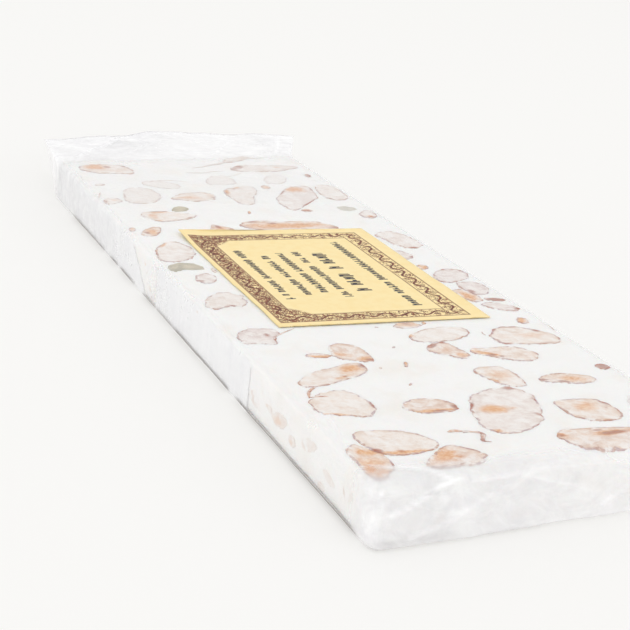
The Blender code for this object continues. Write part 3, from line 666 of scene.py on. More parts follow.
NEAR_CHIPS = [
    (-4.0, 2.4, 3.2, 0.8, 12), (6.5, 4.4, 2.6, 0.9, -24), (13.5, 2.4, 3.4, 0.8, 18),
    (-19.0, 2.6, 1.4, 0.5, 40), (22.5, 4.4, 3.0, 1.0, 14),
]

almond_discs = [nut(OUTLINES[node], TONES[number], veil=VEILS.get(number, 0.0))
                for number, node in enumerate(ALMOND_NODES, start=1)]
almonds = make_piece("almond_slices", almond_discs, ALMOND_NODES, NUT_MARKS)
chip_outlines = [from_label(*chip) for chip in CHIPS]
chip_discs = [nut(chip, 0.3) for chip in chip_outlines]
chip_discs += [nut(oval(*chip), rng.uniform(0.5, 1.0), on_left, 0.4, True, 0.45) for chip in LEFT_CHIPS]
chip_discs += [nut(oval(*chip), rng.uniform(-0.2, 0.4), on_near_end, 0.6, True, 0.3) for chip in NEAR_CHIPS]
chips = make_piece("nut_chips", chip_discs, (), NUT_MARKS)

# %% Almonds in the underside
BELOW_COUNT = 34
BELOW_FIELD = (-26, -82), (26, 88)
BELOW_SIZES = (2.8, 1.7), (6.6, 3.4)
BELOW_OVERLAP = 1.0

below = []
while len(below) < BELOW_COUNT:
    place = rng.uniform(*BELOW_FIELD)
    sizes = rng.uniform(*BELOW_SIZES)
    if all(np.hypot(*(place - other[:2])) > sizes[0] + other[2] - BELOW_OVERLAP for other in below):
        below.append((*place, *sizes, rng.uniform(0, 180)))
under_discs = [nut(from_label(*listed), rng.uniform(-0.6, 0.7), on_bottom) for listed in below]
under = make_piece("almonds_below", under_discs, (), NUT_MARKS)

# %% Pistachios
green_discs = [nut(OUTLINES[node], 0.0, veil=veil) for node, veil in zip(PISTACHIO_NODES, (0.0, 0.45, 0.1))]
pistachios = make_piece("pistachio_slices", green_discs, PISTACHIO_NODES)

# %% [markdown]
# ## Threads of skin
# Here and there only a torn thread of almond skin lies in the nougat. A thread is a flat tube carried
# along a line of points. Its width swells in the middle and comes to nothing at both ends.

# %% Threads on the top face
THREADS = [
    ([(-26.9, -59.2), (-26.2, -57.0), (-25.2, -55.8), (-24.1, -55.0)], 0.3, 0.9),
    ([(-26.8, -59.0), (-25.2, -58.8), (-23.7, -59.0)], 0.2, 0.8),
    ([(-11.6, -74.8), (-10.4, -74.5), (-9.3, -74.9)], 0.45, 0.8),
    ([(-8.4, -75.3), (-7.2, -75.5), (-6.6, -76.4), (-7.4, -77.8), (-8.0, -78.7), (-6.8, -79.2)], 0.38, 0.7),
    ([(-23.2, -34.6), (-22.4, -32.7), (-20.2, -30.9), (-17.7, -29.2)], 0.22, 0.5),
    ([(0.0, 82.5), (3.0, 83.6), (5.0, 85.0), (8.0, 86.5), (11.5, 89.0), (14.0, 91.2), (22.0, 92.8)],
     0.4, 0.2),
    ([(-3.0, 78.2), (1.0, 77.6), (4.0, 79.0), (7.0, 79.4)], 0.3, 0.15),
    ([(14.9, -37.0), (14.8, -36.0), (15.1, -35.2)], 0.12, 0.6),
    ([(-29.6, 56.0), (-28.6, 58.5), (-27.8, 61.0)], 0.2, 0.4),
    ([(28.9, -36.5), (29.3, -35.0), (29.2, -33.5)], 0.12, 0.5),
    ([(-16.0, 68.0), (-13.0, 70.6), (-9.0, 71.0), (-5.0, 69.4)], 0.16, 0.35),
    ([(5.0, 73.5), (8.5, 75.5), (11.0, 78.0)], 0.14, 0.3),
]
THREAD_FLATNESS = 0.3
THREAD_LIFT = 0.02 * MM


def thread(line, width, strength, sides=6, steps=40):
    """Rings along a smoothed line: the width across and a share of it up, both times sin(way)^0.6."""
    line = (np.array(line) * MM) + ZERO[:2]
    share = np.linspace(0, 1, len(line))
    way = np.linspace(0, 1, steps)
    path = np.stack([np.interp(way, share, line[:, axis]) for axis in range(2)], axis=-1)
    for _ in range(6):
        path[1:-1] = (path[:-2] + 2 * path[1:-1] + path[2:]) / 4
    heading = np.gradient(path, axis=0)
    heading /= np.linalg.norm(heading, axis=1)[:, None]
    aside = np.stack([-heading[:, 1], heading[:, 0]], axis=-1)
    uneven = 1 + 0.4 * noise(way, width, 0.12, 77)
    swell = width * MM * np.sin(np.pi * (0.03 + 0.94 * way)) ** 0.6 * uneven
    turn = np.arange(sides) * 2 * np.pi / sides
    flat = path[:, None] + aside[:, None] * (swell[:, None] * np.cos(turn))[..., None]
    lift = swell[:, None] * THREAD_FLATNESS * np.sin(turn) + THREAD_LIFT
    return closed_skin(on_top(flat, lift), {"tone": np.full((1, 1), strength)})


threads = make_piece("skin_threads", [thread(*listed) for listed in THREADS])

# %% [markdown]
# ## The nougat block
# The block is a rounded bar: one ring is its cross-section, and rings follow each other from end to end.
# The top is sawn, so it is level but for a slight unevenness. Under each nut it dips, so that the nut and
# not the nougat shows. The sides step in where the wafer sheets lie.

# %% Cross-section of a rounded bar
ROUND = 0.8 * MM


def bar_ring(top_count, side_count, bottom_count, corner_count=5):
    """Shares across from -1 to 1 and up from 0 to 1, and corner offsets, round a bar from its top left."""
    quarter = np.linspace(0, np.pi / 2, corner_count + 1)[1:-1]
    across, up, out, rise = [], [], [], []

    def add(xs, zs, dx, dz):
        for store, part in zip((across, up, out, rise), np.broadcast_arrays(xs, zs, dx, dz)):
            store.append(np.atleast_1d(part))

    add(np.linspace(-1, 1, top_count), 1.0, 0.0, 1.0)
    add(1.0, 1.0, np.sin(quarter), np.cos(quarter))
    add(1.0, np.linspace(1, 0, side_count), 1.0, 0.0)
    add(1.0, 0.0, np.cos(quarter), -np.sin(quarter))
    add(np.linspace(1, -1, bottom_count), 0.0, 0.0, -1.0)
    add(-1.0, 0.0, -np.sin(quarter), -np.cos(quarter))
    add(-1.0, np.linspace(0, 1, side_count), -1.0, 0.0)
    add(-1.0, 1.0, -np.cos(quarter), np.sin(quarter))
    return tuple(np.concatenate(part).astype(float) for part in (across, up, out, rise))


def section(ring, box, tuck=(0.0, 0.0, 0.0)):
    """Places a bar's ring in a box of left, right, low, high and rounding, tucked at sides, low and high."""
    across, up, out, rise = ring
    left, right, low, high, rounding = box
    half, middle = (right - left) / 2 - tuck[0] - rounding, (left + right) / 2
    low, high = low + tuck[1] + rounding, high - tuck[2] - rounding
    return middle + across * half + out * rounding, low + up * (high - low) + rise * rounding


def end_cap(ring, box, end, tuck, deep, inward, relief=None):
    """Rings that close an end: a quarter turn over the edge, then rings drawn together in the face.

    tuck is how far the turn takes in the sides, bottom and top, deep how far it reaches along the bar, and
    inward is 1 at the near end and -1 at the far end. relief says how far the face stands out at x and z.
    """
    rings = []
    turns = [(math.sin(turn), 1 - math.cos(turn), 1.0) for turn in np.linspace(0, np.pi / 2, 10)[1:]]
    turns += [(1.0, 1.0, share) for share in np.linspace(0.965, 0.02, 24)]
    for out, taken, share in turns:
        x, z = section(ring, box, np.array(tuck) * taken)
        x, z = x.mean() + (x - x.mean()) * share, z.mean() + (z - z.mean()) * share
        stand = relief(x, z) * out if relief else 0.0
        y = end(x, z) + inward * (deep * (1 - out) - stand)
        rings.append(np.stack(np.broadcast_arrays(x, y, z), axis=-1))
    return np.array(rings)


def bar_body(ring, box, along, start, stop, deep):
    """Rings from one end's turn to the other's: the section carried between two functions of x and z."""
    x, z = section(ring, box)
    begin, end = start(x, z) + deep[0], stop(x, z) - deep[1]
    y = begin + along[:, None] * (end - begin)
    return np.stack(np.broadcast_arrays(x, y, z), axis=-1)


def flat_end(x, z):
    """The far end as a function of both x and z."""
    return far_end(x) + 0 * z


# %% The sawn block
TORN_LOW, TORN_HIGH = 15.5, 28.0
NEAR_SHEET_START, NEAR_SHEET_STOP = -42.0, 9.5
NUT_DIP = 0.45 * MM
DIP_FROM, DIP_TO = -0.6 * MM, -0.05 * MM
FACE_ROUGH, SIDE_ROUGH, TOP_UNEVEN = 0.12 * MM, 0.16 * MM, 0.05 * MM
NEAR_TUCK = (1.4 * MM, 0.9 * MM, NEAR_TURN)
FAR_TURN = 0.9 * MM


def torn_place(z):
    """Where the far sheet is torn, in mm from the label's middle: a slanting line, its lower end nearer."""
    return between(TORN_LOW, TORN_HIGH, z / THICK)


def sheet_cover(y, z):
    """1 where wafer covers the left side and 0 where the nougat is bare."""
    along = (y - ZERO[1]) / MM
    far = step(along, torn_place(z) - 0.5, torn_place(z) + 0.5)
    near = step(along, NEAR_SHEET_START - 0.5, NEAR_SHEET_START + 0.5)
    return np.maximum(far, near * (1 - step(along, NEAR_SHEET_STOP, NEAR_SHEET_STOP + 1)))


def sunk_for_nuts(x, y):
    """How far the top dips inside every nut's outline, with a steep edge at the rim."""
    dip = np.zeros_like(x)
    for middle, reach in [*OUTLINES.values(), *chip_outlines]:
        dx, dy = x - middle[0], y - middle[1]
        near = (np.abs(dx) < reach.max()) & (np.abs(dy) < reach.max())
        angle = np.arctan2(dy[near], dx[near])
        edge = np.interp(angle, ANGLES, reach, period=2 * np.pi)
        inside = 1 - step(np.hypot(dx[near], dy[near]) - edge, DIP_FROM, DIP_TO)
        dip[near] = np.maximum(dip[near], inside * NUT_DIP)
    return dip


def nougat_rings():
    """The bar's rings, roughened along their outward directions and dipped under the nuts."""
    ring = bar_ring(119, 13, 50)
    out, rise = ring[2:]
    box = (ZERO[0] - HALF, ZERO[0] + HALF, BLOCK_LOW, THICK, ROUND)
    rough_face = lambda x, z: noise(x, z, 2.5 * MM, 9, octaves=4) * FACE_ROUGH
    rings = np.concatenate([
        end_cap(ring, box, near_end, NEAR_TUCK, NEAR_TURN, 1, rough_face)[::-1],
        bar_body(ring, box, np.linspace(0, 1, 370), near_end, flat_end, (NEAR_TURN, FAR_TURN)),
        end_cap(ring, box, flat_end, (FAR_TURN,) * 3, FAR_TURN, -1, rough_face),
    ])
    x, y, z = rings[..., 0], rings[..., 1], rings[..., 2]
    step_in = np.where(out < -0.5, sheet_cover(y, z), 0) - np.where(out > 0.5, 1, 0)
    outer = step(np.abs(x - ZERO[0]), HALF - 3 * MM, HALF - 1.5 * MM)
    lip = step(z, THICK - 1.5 * MM, THICK - 1.0 * MM)
    x += SIDE * step_in * outer * (1 - 0.85 * lip)
    rough = noise(y, z + x * 0.3, 3.5 * MM, 5, octaves=4) * SIDE_ROUGH
    x += (out * rough) * (1 - 0.7 * np.abs(rise))
    level = noise(x, y, 9 * MM, 3, octaves=5, fade=0.55) * TOP_UNEVEN
    upper = step(z, THICK - NEAR_TURN, THICK - 0.8 * NEAR_TURN)
    z += np.where(rise > 0, rise * upper * (level - sunk_for_nuts(x, y)), 0)
    return rings


nougat = make_piece("nougat_block", [closed_skin(nougat_rings())], ["nougat"])

# %% [markdown]
# ## Wafer sheets
# The block was poured between sheets of rice paper, and the slice keeps a strip of it on each long side.
# Rice paper wrinkles in fine upright lines as the nougat under it shrinks. A sheet is a thin bar again,
# with its outer face rippled, its upper edge worn back a little, and its ends ragged where it is torn.

# %% Sheets on the long sides
WAFER_ROUND = 0.12 * MM
WAFER_END = 0.05 * MM
WORN = 0.6 * MM
RAGGED = 0.35 * MM
RIPPLE, SWELL = 0.05 * MM, 0.08 * MM
STAND_OUT, LEAN_IN = 0.1 * MM, 0.3 * MM
UPPER_EDGE_WAVE = 0.25 * MM


def wafer(name, side, start, stop, rows, seed):
    """A thin upright bar. Its face ripples in lines that stand upright, and its ends are ragged."""
    low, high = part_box(name)
    ring = bar_ring(3, 22, 3, corner_count=3)
    box = (low.x, high.x, BLOCK_LOW, THICK - WORN, WAFER_ROUND)
    tuck, deep = (WAFER_END,) * 3, 2 * WAFER_END
    begin = lambda x, z: start(z) + noise(z, 0.0, 1.3 * MM, seed) * RAGGED
    end = lambda x, z: stop(z) + noise(z, 9.0, 1.3 * MM, seed) * RAGGED
    rings = np.concatenate([end_cap(ring, box, begin, tuck, deep, 1)[::-1],
                            bar_body(ring, box, np.linspace(0, 1, rows), begin, end, (deep, deep)),
                            end_cap(ring, box, end, tuck, deep, -1)])
    x, y, z = rings[..., 0], rings[..., 1], rings[..., 2]
    ripple = noise(y, z * 0.12, 1.8 * MM, seed + 1, octaves=4, fade=0.6) * RIPPLE
    swell = noise(y, z * 0.4, 9 * MM, seed + 2) * SWELL
    height = z / THICK
    x += side * (ripple + swell + STAND_OUT - LEAN_IN * step(height, 0.72, 0.95))
    z += noise(y, 0 * z, 3 * MM, seed + 3, octaves=4) * UPPER_EDGE_WAVE * step(height, 0.6, 0.95)
    return make_piece(name + "_sheet", [closed_skin(rings)], [name])


def measured(place):
    """A place along the slab that stays the same at each height, given in mm from the label's middle."""
    return lambda z: ZERO[1] + place * MM


left_x, right_x = ZERO[0] - HALF, ZERO[0] + HALF
wafers = [
    wafer("wafer_left_far", -1, lambda z: ZERO[1] + torn_place(z) * MM, lambda z: far_end(left_x), 330, 51),
    wafer("wafer_left_near", -1, measured(NEAR_SHEET_START), measured(NEAR_SHEET_STOP), 230, 61),
    wafer("wafer_right", 1, lambda z: near_end(right_x, z), lambda z: far_end(right_x), 760, 71),
]

# %% [markdown]
# ## The paper label
# The label is a sheet of thin paper stuck on the film, so both follow one height: the film's, which is a
# hair above the nougat, with fine wrinkles that run along the slab. The label's far left corner has
# lifted a little. The print is worked out in the material further down.

# %% Label
LABEL_HALF = (label_high - label_low)[:2] / 2
PAPER = 0.1 * MM
PAPER_GAP = 0.04 * MM
CORNER_LIFT = 0.5 * MM
SIDE_WAVE, END_WAVE = 0.2 * MM, 0.25 * MM
FILM_GAP = 0.16 * MM
FINE_WRINKLE, BROAD_WRINKLE = 0.035 * MM, 0.03 * MM


def film_top(x, y):
    """The film's top face. Its wrinkles run along the slab, because the noise is read slowly along Y."""
    fine_part = FINE_WRINKLE * noise(x, y * 0.12, 2.2 * MM, 91)
    return THICK + FILM_GAP + fine_part + BROAD_WRINKLE * noise(x, y, 12 * MM, 92)


def label_rings(rows=110, columns=80):
    """A thin sheet: each ring runs over its top from left to right and back underneath."""
    across = np.concatenate([np.linspace(-1, 1, columns), np.linspace(1, -1, columns)])
    upper = np.repeat([1.0, 0.0], columns)
    along = np.linspace(-1, 1, rows)[:, None]
    x = ZERO[0] + across * LABEL_HALF[0] + 0 * along
    y = ZERO[1] + along * LABEL_HALF[1] + 0 * across
    x = x + noise(y, 0.0, 7 * MM, 81) * SIDE_WAVE * np.abs(across) ** 6
    y = y + noise(x, 3.0, 9 * MM, 83) * END_WAVE * np.abs(along) ** 6
    lifted = step(-across + along, 1.6, 2.0) * CORNER_LIFT
    z = film_top(x, y) + PAPER_GAP + lifted + upper * PAPER
    return np.stack([x, y, z], axis=-1)


label = make_piece("label_paper", [closed_skin(label_rings())], ["label"])

# %% [markdown]
# ## The film
# The wrap is one tube of clear film: tight over the slab, pressed flat past the far end and folded up
# against the near end. A closed skin of rings does it, if each ring can change from the slab's cross-
# section to a flat line. Fine wrinkles run along the slab, and stronger creases run out from the slab's
# corners into the flap. Each point also carries how hazy the film looks there, which grows where it is
# creased, folded or doubled, with a painted sheen added over the far half of the top.

# %% Film over the slab and past its ends
FLAP_LEFT, FLAP_RIGHT = (corner("film_far_end", (side, 1, 0.3)) for side in (-1, 1))
FLAP_BULGE = 6.5 * MM
FILM_RING = bar_ring(131, 18, 70, corner_count=7)
FILM_HALF, FILM_LOW, FILM_ROUND = HALF + 0.45 * MM, 0.03 * MM, 1.1 * MM
FILM_BOX = (ZERO[0] - FILM_HALF, ZERO[0] + FILM_HALF, FILM_LOW, THICK + FILM_GAP, FILM_ROUND)
NEAR_DEEP = 2.0 * MM
FILM_TUCK = (1.1 * MM, 0.6 * MM, NEAR_DEEP)
STAND_LOW, STAND_HIGH, SLANT, END_CREASE = 1.8, 0.5, 0.5, 0.2
TOP_CREASE, SIDE_FOLD = 0.14 * MM, 0.14 * MM
FLAP_WAVE, FLAP_DROOP, FLAP_CREASE = 0.7 * MM, 1.2 * MM, 0.5 * MM
END_CREASES = [
    ((-28.0, 4.6), (-15.3, 8.6), 1.0), ((-28.0, 4.6), (-28.6, 8.2), 0.8), ((-24.0, 1.2), (-9.0, 6.2), 0.5),
    ((-14.0, 8.0), (16.0, 7.6), 0.7), ((-6.0, 7.6), (4.0, 4.8), 0.5), ((8.0, 2.0), (18.0, 6.6), 0.6),
    ((20.0, 6.8), (27.0, 3.0), 0.7), ((-19.0, 6.4), (-17.0, 3.2), 0.4), ((12.0, 7.0), (20.0, 7.9), 0.8),
]
TOP_CREASES = [
    ((-24.9, 92.8), (-8.6, 115.3), 1.0), ((10.0, 96.0), (22.0, 116.0), 0.5),
    ((-27.0, 88.0), (-22.0, 96.0), 0.5), ((26.0, 95.0), (33.0, 112.0), 0.6),
    ((-12.0, 96.0), (-2.0, 108.0), 0.35), ((2.0, -83.5), (16.0, -80.5), 0.4),
    ((-28.0, -84.0), (-15.3, -88.5), 0.9), ((-15.3, -88.5), (0.4, -86.0), 0.6),
    ((0.4, -86.0), (13.5, -83.6), 0.4), ((-27.5, -68.0), (-29.5, -82.0), 0.5),
    ((18.0, -84.5), (27.0, -80.5), 0.5),
]


def crease_share(u, v, lines, width):
    """The strongest crease at each point: a crease counts its strength times exp(-(distance / width)^2)."""
    best = np.zeros(np.shape(u))
    for (u0, v0), (u1, v1), strength in lines:
        span = np.array([u1 - u0, v1 - v0])
        way = np.clip(((u - u0) * span[0] + (v - v0) * span[1]) / (span @ span), 0, 1)
        bend = 0.35 * np.sin(way * 7 + u0)
        far = np.hypot(u - u0 - way * span[0] + bend * 0.4, v - v0 - way * span[1] - bend * 0.4)
        best = np.maximum(best, strength * np.exp(-((far / width) ** 2)))
    return best


def near_relief(x, z):
    """The folded end stands out most at the bottom, in broad slanting folds with a few sharp creases."""
    u, v = (x - ZERO[0]) / MM, z / MM
    stand = between(STAND_LOW, STAND_HIGH, z / THICK)
    slant = noise(u * 0.7 + v, v * 0.5 - u * 0.12, 5.5, 95, octaves=3, fade=0.45) * SLANT
    return (stand + slant + END_CREASE * crease_share(u, v, END_CREASES, 0.35)) * MM


def film_body():
    """Film over the slab: its section grown by a hair, with rings closer together toward both ends."""
    stretches = ((0, 0.1, 56), (0.1, 0.9, 160), (0.9, 1, 34))
    along = np.unique(np.concatenate([np.linspace(*stretch) for stretch in stretches]))
    return bar_body(FILM_RING, FILM_BOX, along, near_end, flat_end, (NEAR_DEEP, 0.0))


def wrinkled(rings):
    """Moves the film's top to its own height, and its sides in and out in broad folds."""
    out, rise = FILM_RING[2:]
    x, y, z = (rings[..., index] for index in range(3))
    u, v = (x - ZERO[0]) / MM, (y - ZERO[1]) / MM
    upper = step(z, THICK - 1.5 * MM, THICK) * (rise > 0)
    near_folds = (1 - step(v, -86, -78)) * (0.1 + 0.16 * noise(u * 0.7 + v, v * 0.6 - u * 0.3, 4.0, 89)) * MM
    raised = crease_share(u, v, TOP_CREASES, 0.45) * TOP_CREASE
    sideways = noise(z * 0.3, y, 7 * MM, 93, octaves=4) * SIDE_FOLD
    z = z + upper * (film_top(x, y) - FILM_BOX[3] + raised + near_folds)
    return np.stack([x + out * sideways, y, z], axis=-1)


def far_flap(start, steps=46, closing=24):
    """The tube's far end: the lower side rises in a curve until both sides meet in a flat flap.

    The last rings close it: they keep to the flap's far edge and are drawn together sideways along it.
    """
    share = np.concatenate([np.linspace(0, 1, steps + 1)[1:], np.ones(closing)])[:, None]
    narrowed = np.concatenate([np.ones(steps), np.linspace(0.98, 0.01, closing)])[:, None]
    across = (start[:, 0] - ZERO[0]) / HALF / 2 * narrowed + 0.5
    edge_x = between(FLAP_LEFT[0], FLAP_RIGHT[0], across)
    edge_y = between(FLAP_LEFT[1], FLAP_RIGHT[1], across)
    edge_y += FLAP_BULGE * np.sin(np.pi * np.clip(across, 0, 1))
    flat = THICK - 0.3 * MM + (start[:, 2] / THICK) * 0.12 * MM
    x, y = between(start[:, 0], edge_x, share), between(start[:, 1], edge_y, share)
    z = between(start[:, 2], flat, np.sin(share * np.pi / 2))
    u, v = (x - ZERO[0]) / MM, (y - ZERO[1]) / MM
    wave = noise(x + 0.35 * y, y * 0.2, 9 * MM, 97, octaves=4) * FLAP_WAVE * step(share, 0.0, 0.5)
    droop = FLAP_DROOP * step(share, 0.3, 1.0) * (0.6 + 0.4 * noise(x, 0.0, 18 * MM, 99))
    z = z + wave - droop + crease_share(u, v, TOP_CREASES, 0.5) * FLAP_CREASE
    return np.stack([x, y, z], axis=-1)


def film_haze_and_sheen(points):
    """How hazy the film looks: little on top, more on the sides, most at the near end and on the flap, plus
    painted sheen on the far half of the top.
    """
    u, v, w = in_mm(points)
    near = 1 - step(v + 2.0 * noise(u, v, 6.0, 101), -89.0, -82.5)
    far = step(v - 0.1 * u + 2.0 * noise(u, v, 5.0, 103), 84.0, 93.5)
    side = step(np.abs(u), 28.2, 30.0)
    corner_veil = step(v - u * 0.9, 108.0, 122.0)
    patches = 0.5 + 0.5 * noise(u + 0.4 * w, v, 11.0, 105, octaves=4)
    on_face = crease_share(u, w, END_CREASES, 0.4) * (1 - step(v, -87.5, -86.0)) * (1 - step(w, 7.5, 9.0))
    creases = np.maximum(on_face, crease_share(u, v, TOP_CREASES, 0.45) * step(w, 7.0, 8.5))
    # The step from 10 to 75 mm along is painted sheen: the far half of the top is veiled whiter, standing in
    # for the film's reflection.
    base = 0.03 + 0.16 * step(v, 10, 75) + 0.05 * patches + 0.52 * near
    base += 0.2 * far + 0.2 * side + 0.25 * corner_veil
    return np.clip(base * (0.7 + 0.6 * patches) + 0.32 * creases, 0, 1)


def painted_contact_shadow(points):
    """A painted contact shadow: a dark line where the film turns under the left side and the near end,
    broken in places.
    """
    u, v, w = in_mm(points)
    broken = step(noise(u, v, 5.0, 109, octaves=4), -0.7, -0.1)
    left = (1 - step(w, 0.6, 1.1)) * step(-u, 29.3, 29.8) * step(v, -88, -84) * (1 - step(v, 72, 80))
    near = (1 - step(w, 0.2, 0.6)) * step(-v, 88.0, 88.5) * 0.45
    return (left + near) * broken


near_cap = end_cap(FILM_RING, FILM_BOX, near_end, FILM_TUCK, NEAR_DEEP, 1, near_relief)[::-1]
body = wrinkled(np.concatenate([near_cap, film_body()]))
film_rings = np.concatenate([body, far_flap(body[-1])])
film = make_piece("film_wrap", [closed_skin(film_rings)], ["film_far_end", "film_near_end"],
                  {"haze_and_sheen": film_haze_and_sheen, "painted_contact_shadow": painted_contact_shadow})

# %% [markdown]
# ## Finishes
# Nougat is white and slightly warm, and a little light goes into it. Its grain is fine, so most of it is
# bump.

# %% Nougat and wafer finishes
nougat_finish = Finish("white nougat", Roughness=0.6, Subsurface_Weight=0.1, Subsurface_Scale=0.003)
spot = nougat_finish.place()
cloud = nougat_finish.noise(spot, 0.13, 5)
mottle = nougat_finish.noise(spot, 0.9, 5)
grain = nougat_finish.noise(spot, 1.4, 6)
body_colour = nougat_finish.mix(cloud.band(0.48, 0.75) * 0.7, (247, 246, 244), (243, 238, 231))
body_colour = nougat_finish.mix(mottle.band(0.6, 0.8) * 0.35, body_colour, (237, 226, 214))
nougat_finish.wear(nougat, Base_Color=body_colour, Normal=nougat_finish.bump(grain, 0.00007))

wafer_finish = Finish("rice paper", Roughness=0.75)
streak = wafer_finish.noise(wafer_finish.place(scale=(1, 1, 0.1)), 0.8, 5)
tone = wafer_finish.noise(wafer_finish.place(), 0.12, 4)
shade = streak.band(0.35, 0.7) * 0.45 + tone.band(0.4, 0.8) * 0.3
paper = wafer_finish.mix(shade, (246, 246, 246), (236, 236, 238))
wafer_finish.wear(*wafers, Base_Color=paper, Normal=wafer_finish.bump(streak, 0.00005))

# %% [markdown]
# Almond flesh runs from mauve grey through cream to tan, and a nut is never one colour: it is blotched,
# orange where it is toasted, and brown along the rim where its skin was cut through.

# %% Nut finishes
flesh_finish = Finish("almond", Roughness=0.5)
tone, toast, dark, inset = (flesh_finish.attribute(name) for name in ("tone", "toast", "skin", "inset"))
spot = flesh_finish.place()
blotch = flesh_finish.noise(spot, 0.45, 5)
fibre = flesh_finish.noise(spot, 2.0, 4)
patch = blotch.band(0.35, 0.7)
cream = flesh_finish.mix(patch, (241, 232, 223), (231, 217, 203))
mauve = flesh_finish.mix(patch, (229, 216, 211), (214, 196, 190))
tan = flesh_finish.mix(patch, (232, 208, 190), (214, 180, 157))
orange = flesh_finish.mix(fibre.band(0.35, 0.65), (236, 194, 150), (222, 160, 108))
rim_colour = flesh_finish.mix(blotch.band(0.42, 0.6), (182, 154, 160), (184, 134, 112))
dark_colour = flesh_finish.mix(fibre.band(0.4, 0.6), (158, 98, 84), (178, 98, 64))
pale = (flesh_finish.noise(spot, 0.7, 6, rough=0.65).band(0.38, 0.62) * 0.6 + 0.15) * inset.band(0.15, 1.5)
white = flesh_finish.noise(spot, 0.3, 6, rough=0.62).band(0.48, 0.64) * 0.65
toasted = (toast * (0.35 + blotch * 0.75 + fibre * 0.6)).band(0.12, 0.75)
width = flesh_finish.noise(spot, 0.5, 5) * 1.4 - 0.34
rim = (width - inset).band(0.0, 0.14) * fibre.band(0.34, 0.48)
speck = flesh_finish.noise(spot, 1.25, 6, rough=0.7).band(0.6, 0.68) * (toast * 0.6 + 0.2)
smear = flesh_finish.noise(spot, 0.55, 6).band(0.5, 0.62) * inset.band(1.6, 0.2)
skin = dark.band(0.2, 0.75) * (0.75 + rim * 0.2)
layers = [
    ((tone * -1.6).kept(), mauve), (pale, (245, 240, 235)), (white, (246, 243, 240)), (toasted, orange),
    (rim * 0.8, rim_colour), (speck.kept(), (196, 142, 112)), (smear * 0.85, (246, 243, 239)),
    (skin, dark_colour), (flesh_finish.attribute("veil"), (242, 240, 238)),
]
colour = flesh_finish.mix((tone * 1.1).kept(), cream, tan)
for share, laid in layers:
    colour = flesh_finish.mix(share, colour, laid)
flesh_finish.wear(almonds, chips, under, Base_Color=colour, Normal=flesh_finish.bump(fibre, 0.00004))

thread_finish = Finish("torn skin", Roughness=0.5)
speckle = thread_finish.noise(thread_finish.place(), 0.6, 4)
brown_skin = thread_finish.mix(speckle.band(0.4, 0.6), (176, 116, 94), (222, 178, 152))
patchy = thread_finish.noise(thread_finish.place(), 0.9, 5).band(0.35, 0.55)
torn = thread_finish.attribute("tone") * (0.25 + patchy)
thread_finish.wear(threads, Base_Color=thread_finish.mix(torn.kept(), (238, 233, 229), brown_skin))

green_finish = Finish("pistachio", Roughness=0.5)
blotch = green_finish.noise(green_finish.place(), 0.4, 4)
green = green_finish.mix(blotch.band(0.3, 0.7), (206, 194, 168), (168, 160, 136))
green = green_finish.mix(green_finish.attribute("veil"), green, (232, 231, 230))
green_finish.wear(pistachios, Base_Color=green)

# %% [markdown]
# ## The label's print
# The label is pale yellow, with a printed frame and rows of print inside it. This one has a general frame
# of its own: two rules with engraved leaves on a wavy stem between them. In place of words there are rows
# of plain marks. All of it is worked out from the distance to the frame's edge and the place along it.

# %% Label print
label_finish = Finish("printed paper", Roughness=0.6)
across, along, _height = label_finish.parts(label_finish.place(offset=tuple(ZERO)))
flat = label_finish.joined(across, along)
fibres = label_finish.noise(flat, 0.5, 5)
engraving = label_finish.noise(flat, 1.6, 3, rough=0.6, warp=1.2)
FRAME_MIDDLE, FRAME_HALF = (-1.0, -0.75), (18.2, 26.3)
OUTER_RULE, STEM_PLACE, INNER_RULE = 0.15, 1.9, 3.75
from_side = FRAME_HALF[0] - (across - FRAME_MIDDLE[0]).size()
from_end = FRAME_HALF[1] - (along - FRAME_MIDDLE[1]).size()
inside = from_side.least(from_end)
beside = (from_end - from_side).band(-0.2, 0.2)
way = along * beside + across * (1 - beside)
wave = way.sine(5.2)
stem = (inside - STEM_PLACE - wave * 0.75).within(0.2, 0.14)
leaf_rows = (way.sine(2.1) * 0.8 - (inside - STEM_PLACE + wave * 0.55).size() + 0.9).band(0.0, 0.3)
rules = (inside - OUTER_RULE).within(0.13, 0.08).either((inside - INNER_RULE).within(0.1, 0.08))
in_band = inside.band(0.1, 0.3) * (1 - inside.band(3.5, 3.8))
curls = (label_finish.noise(flat, 0.34, 2, warp=1.5) * 27.0).maths("SINE").size().band(0.85, 0.5)
veins = (label_finish.noise(flat, 0.8, 2, warp=0.6) * 24.0).maths("SINE").size().band(0.85, 0.45)
leftward = across.band(6.0, -14.0)
corner_spot = (from_side.maths("POWER", 2.0) + from_end.maths("POWER", 2.0)).maths("SQRT")
rosette = corner_spot.band(8.6, 7.6) * leftward
thick = engraving.band(0.5, 0.54)
foliage = (leaf_rows * curls).either(stem).either(thick * veins)
foliage = foliage.either(leftward * curls * 0.9).either(thick * leftward)
frame_ink = (in_band.either(rosette * inside.band(0.1, 0.3)) * foliage).either(rules * 0.75).kept()

ROWS = [
    (-12.6, -15, 15, 1.9, 1.0), (-8.3, -13, 11, 2.0, 1.15), (-4.7, -12, 12.5, 2.0, 1.15),
    (-1.2, -15, 13, 2.0, 1.1), (3.2, -12, -1.5, 3.4, 1.7), (3.2, 1.5, 12, 3.4, 1.7),
    (9.6, -21, 20, 2.1, 1.15),
]


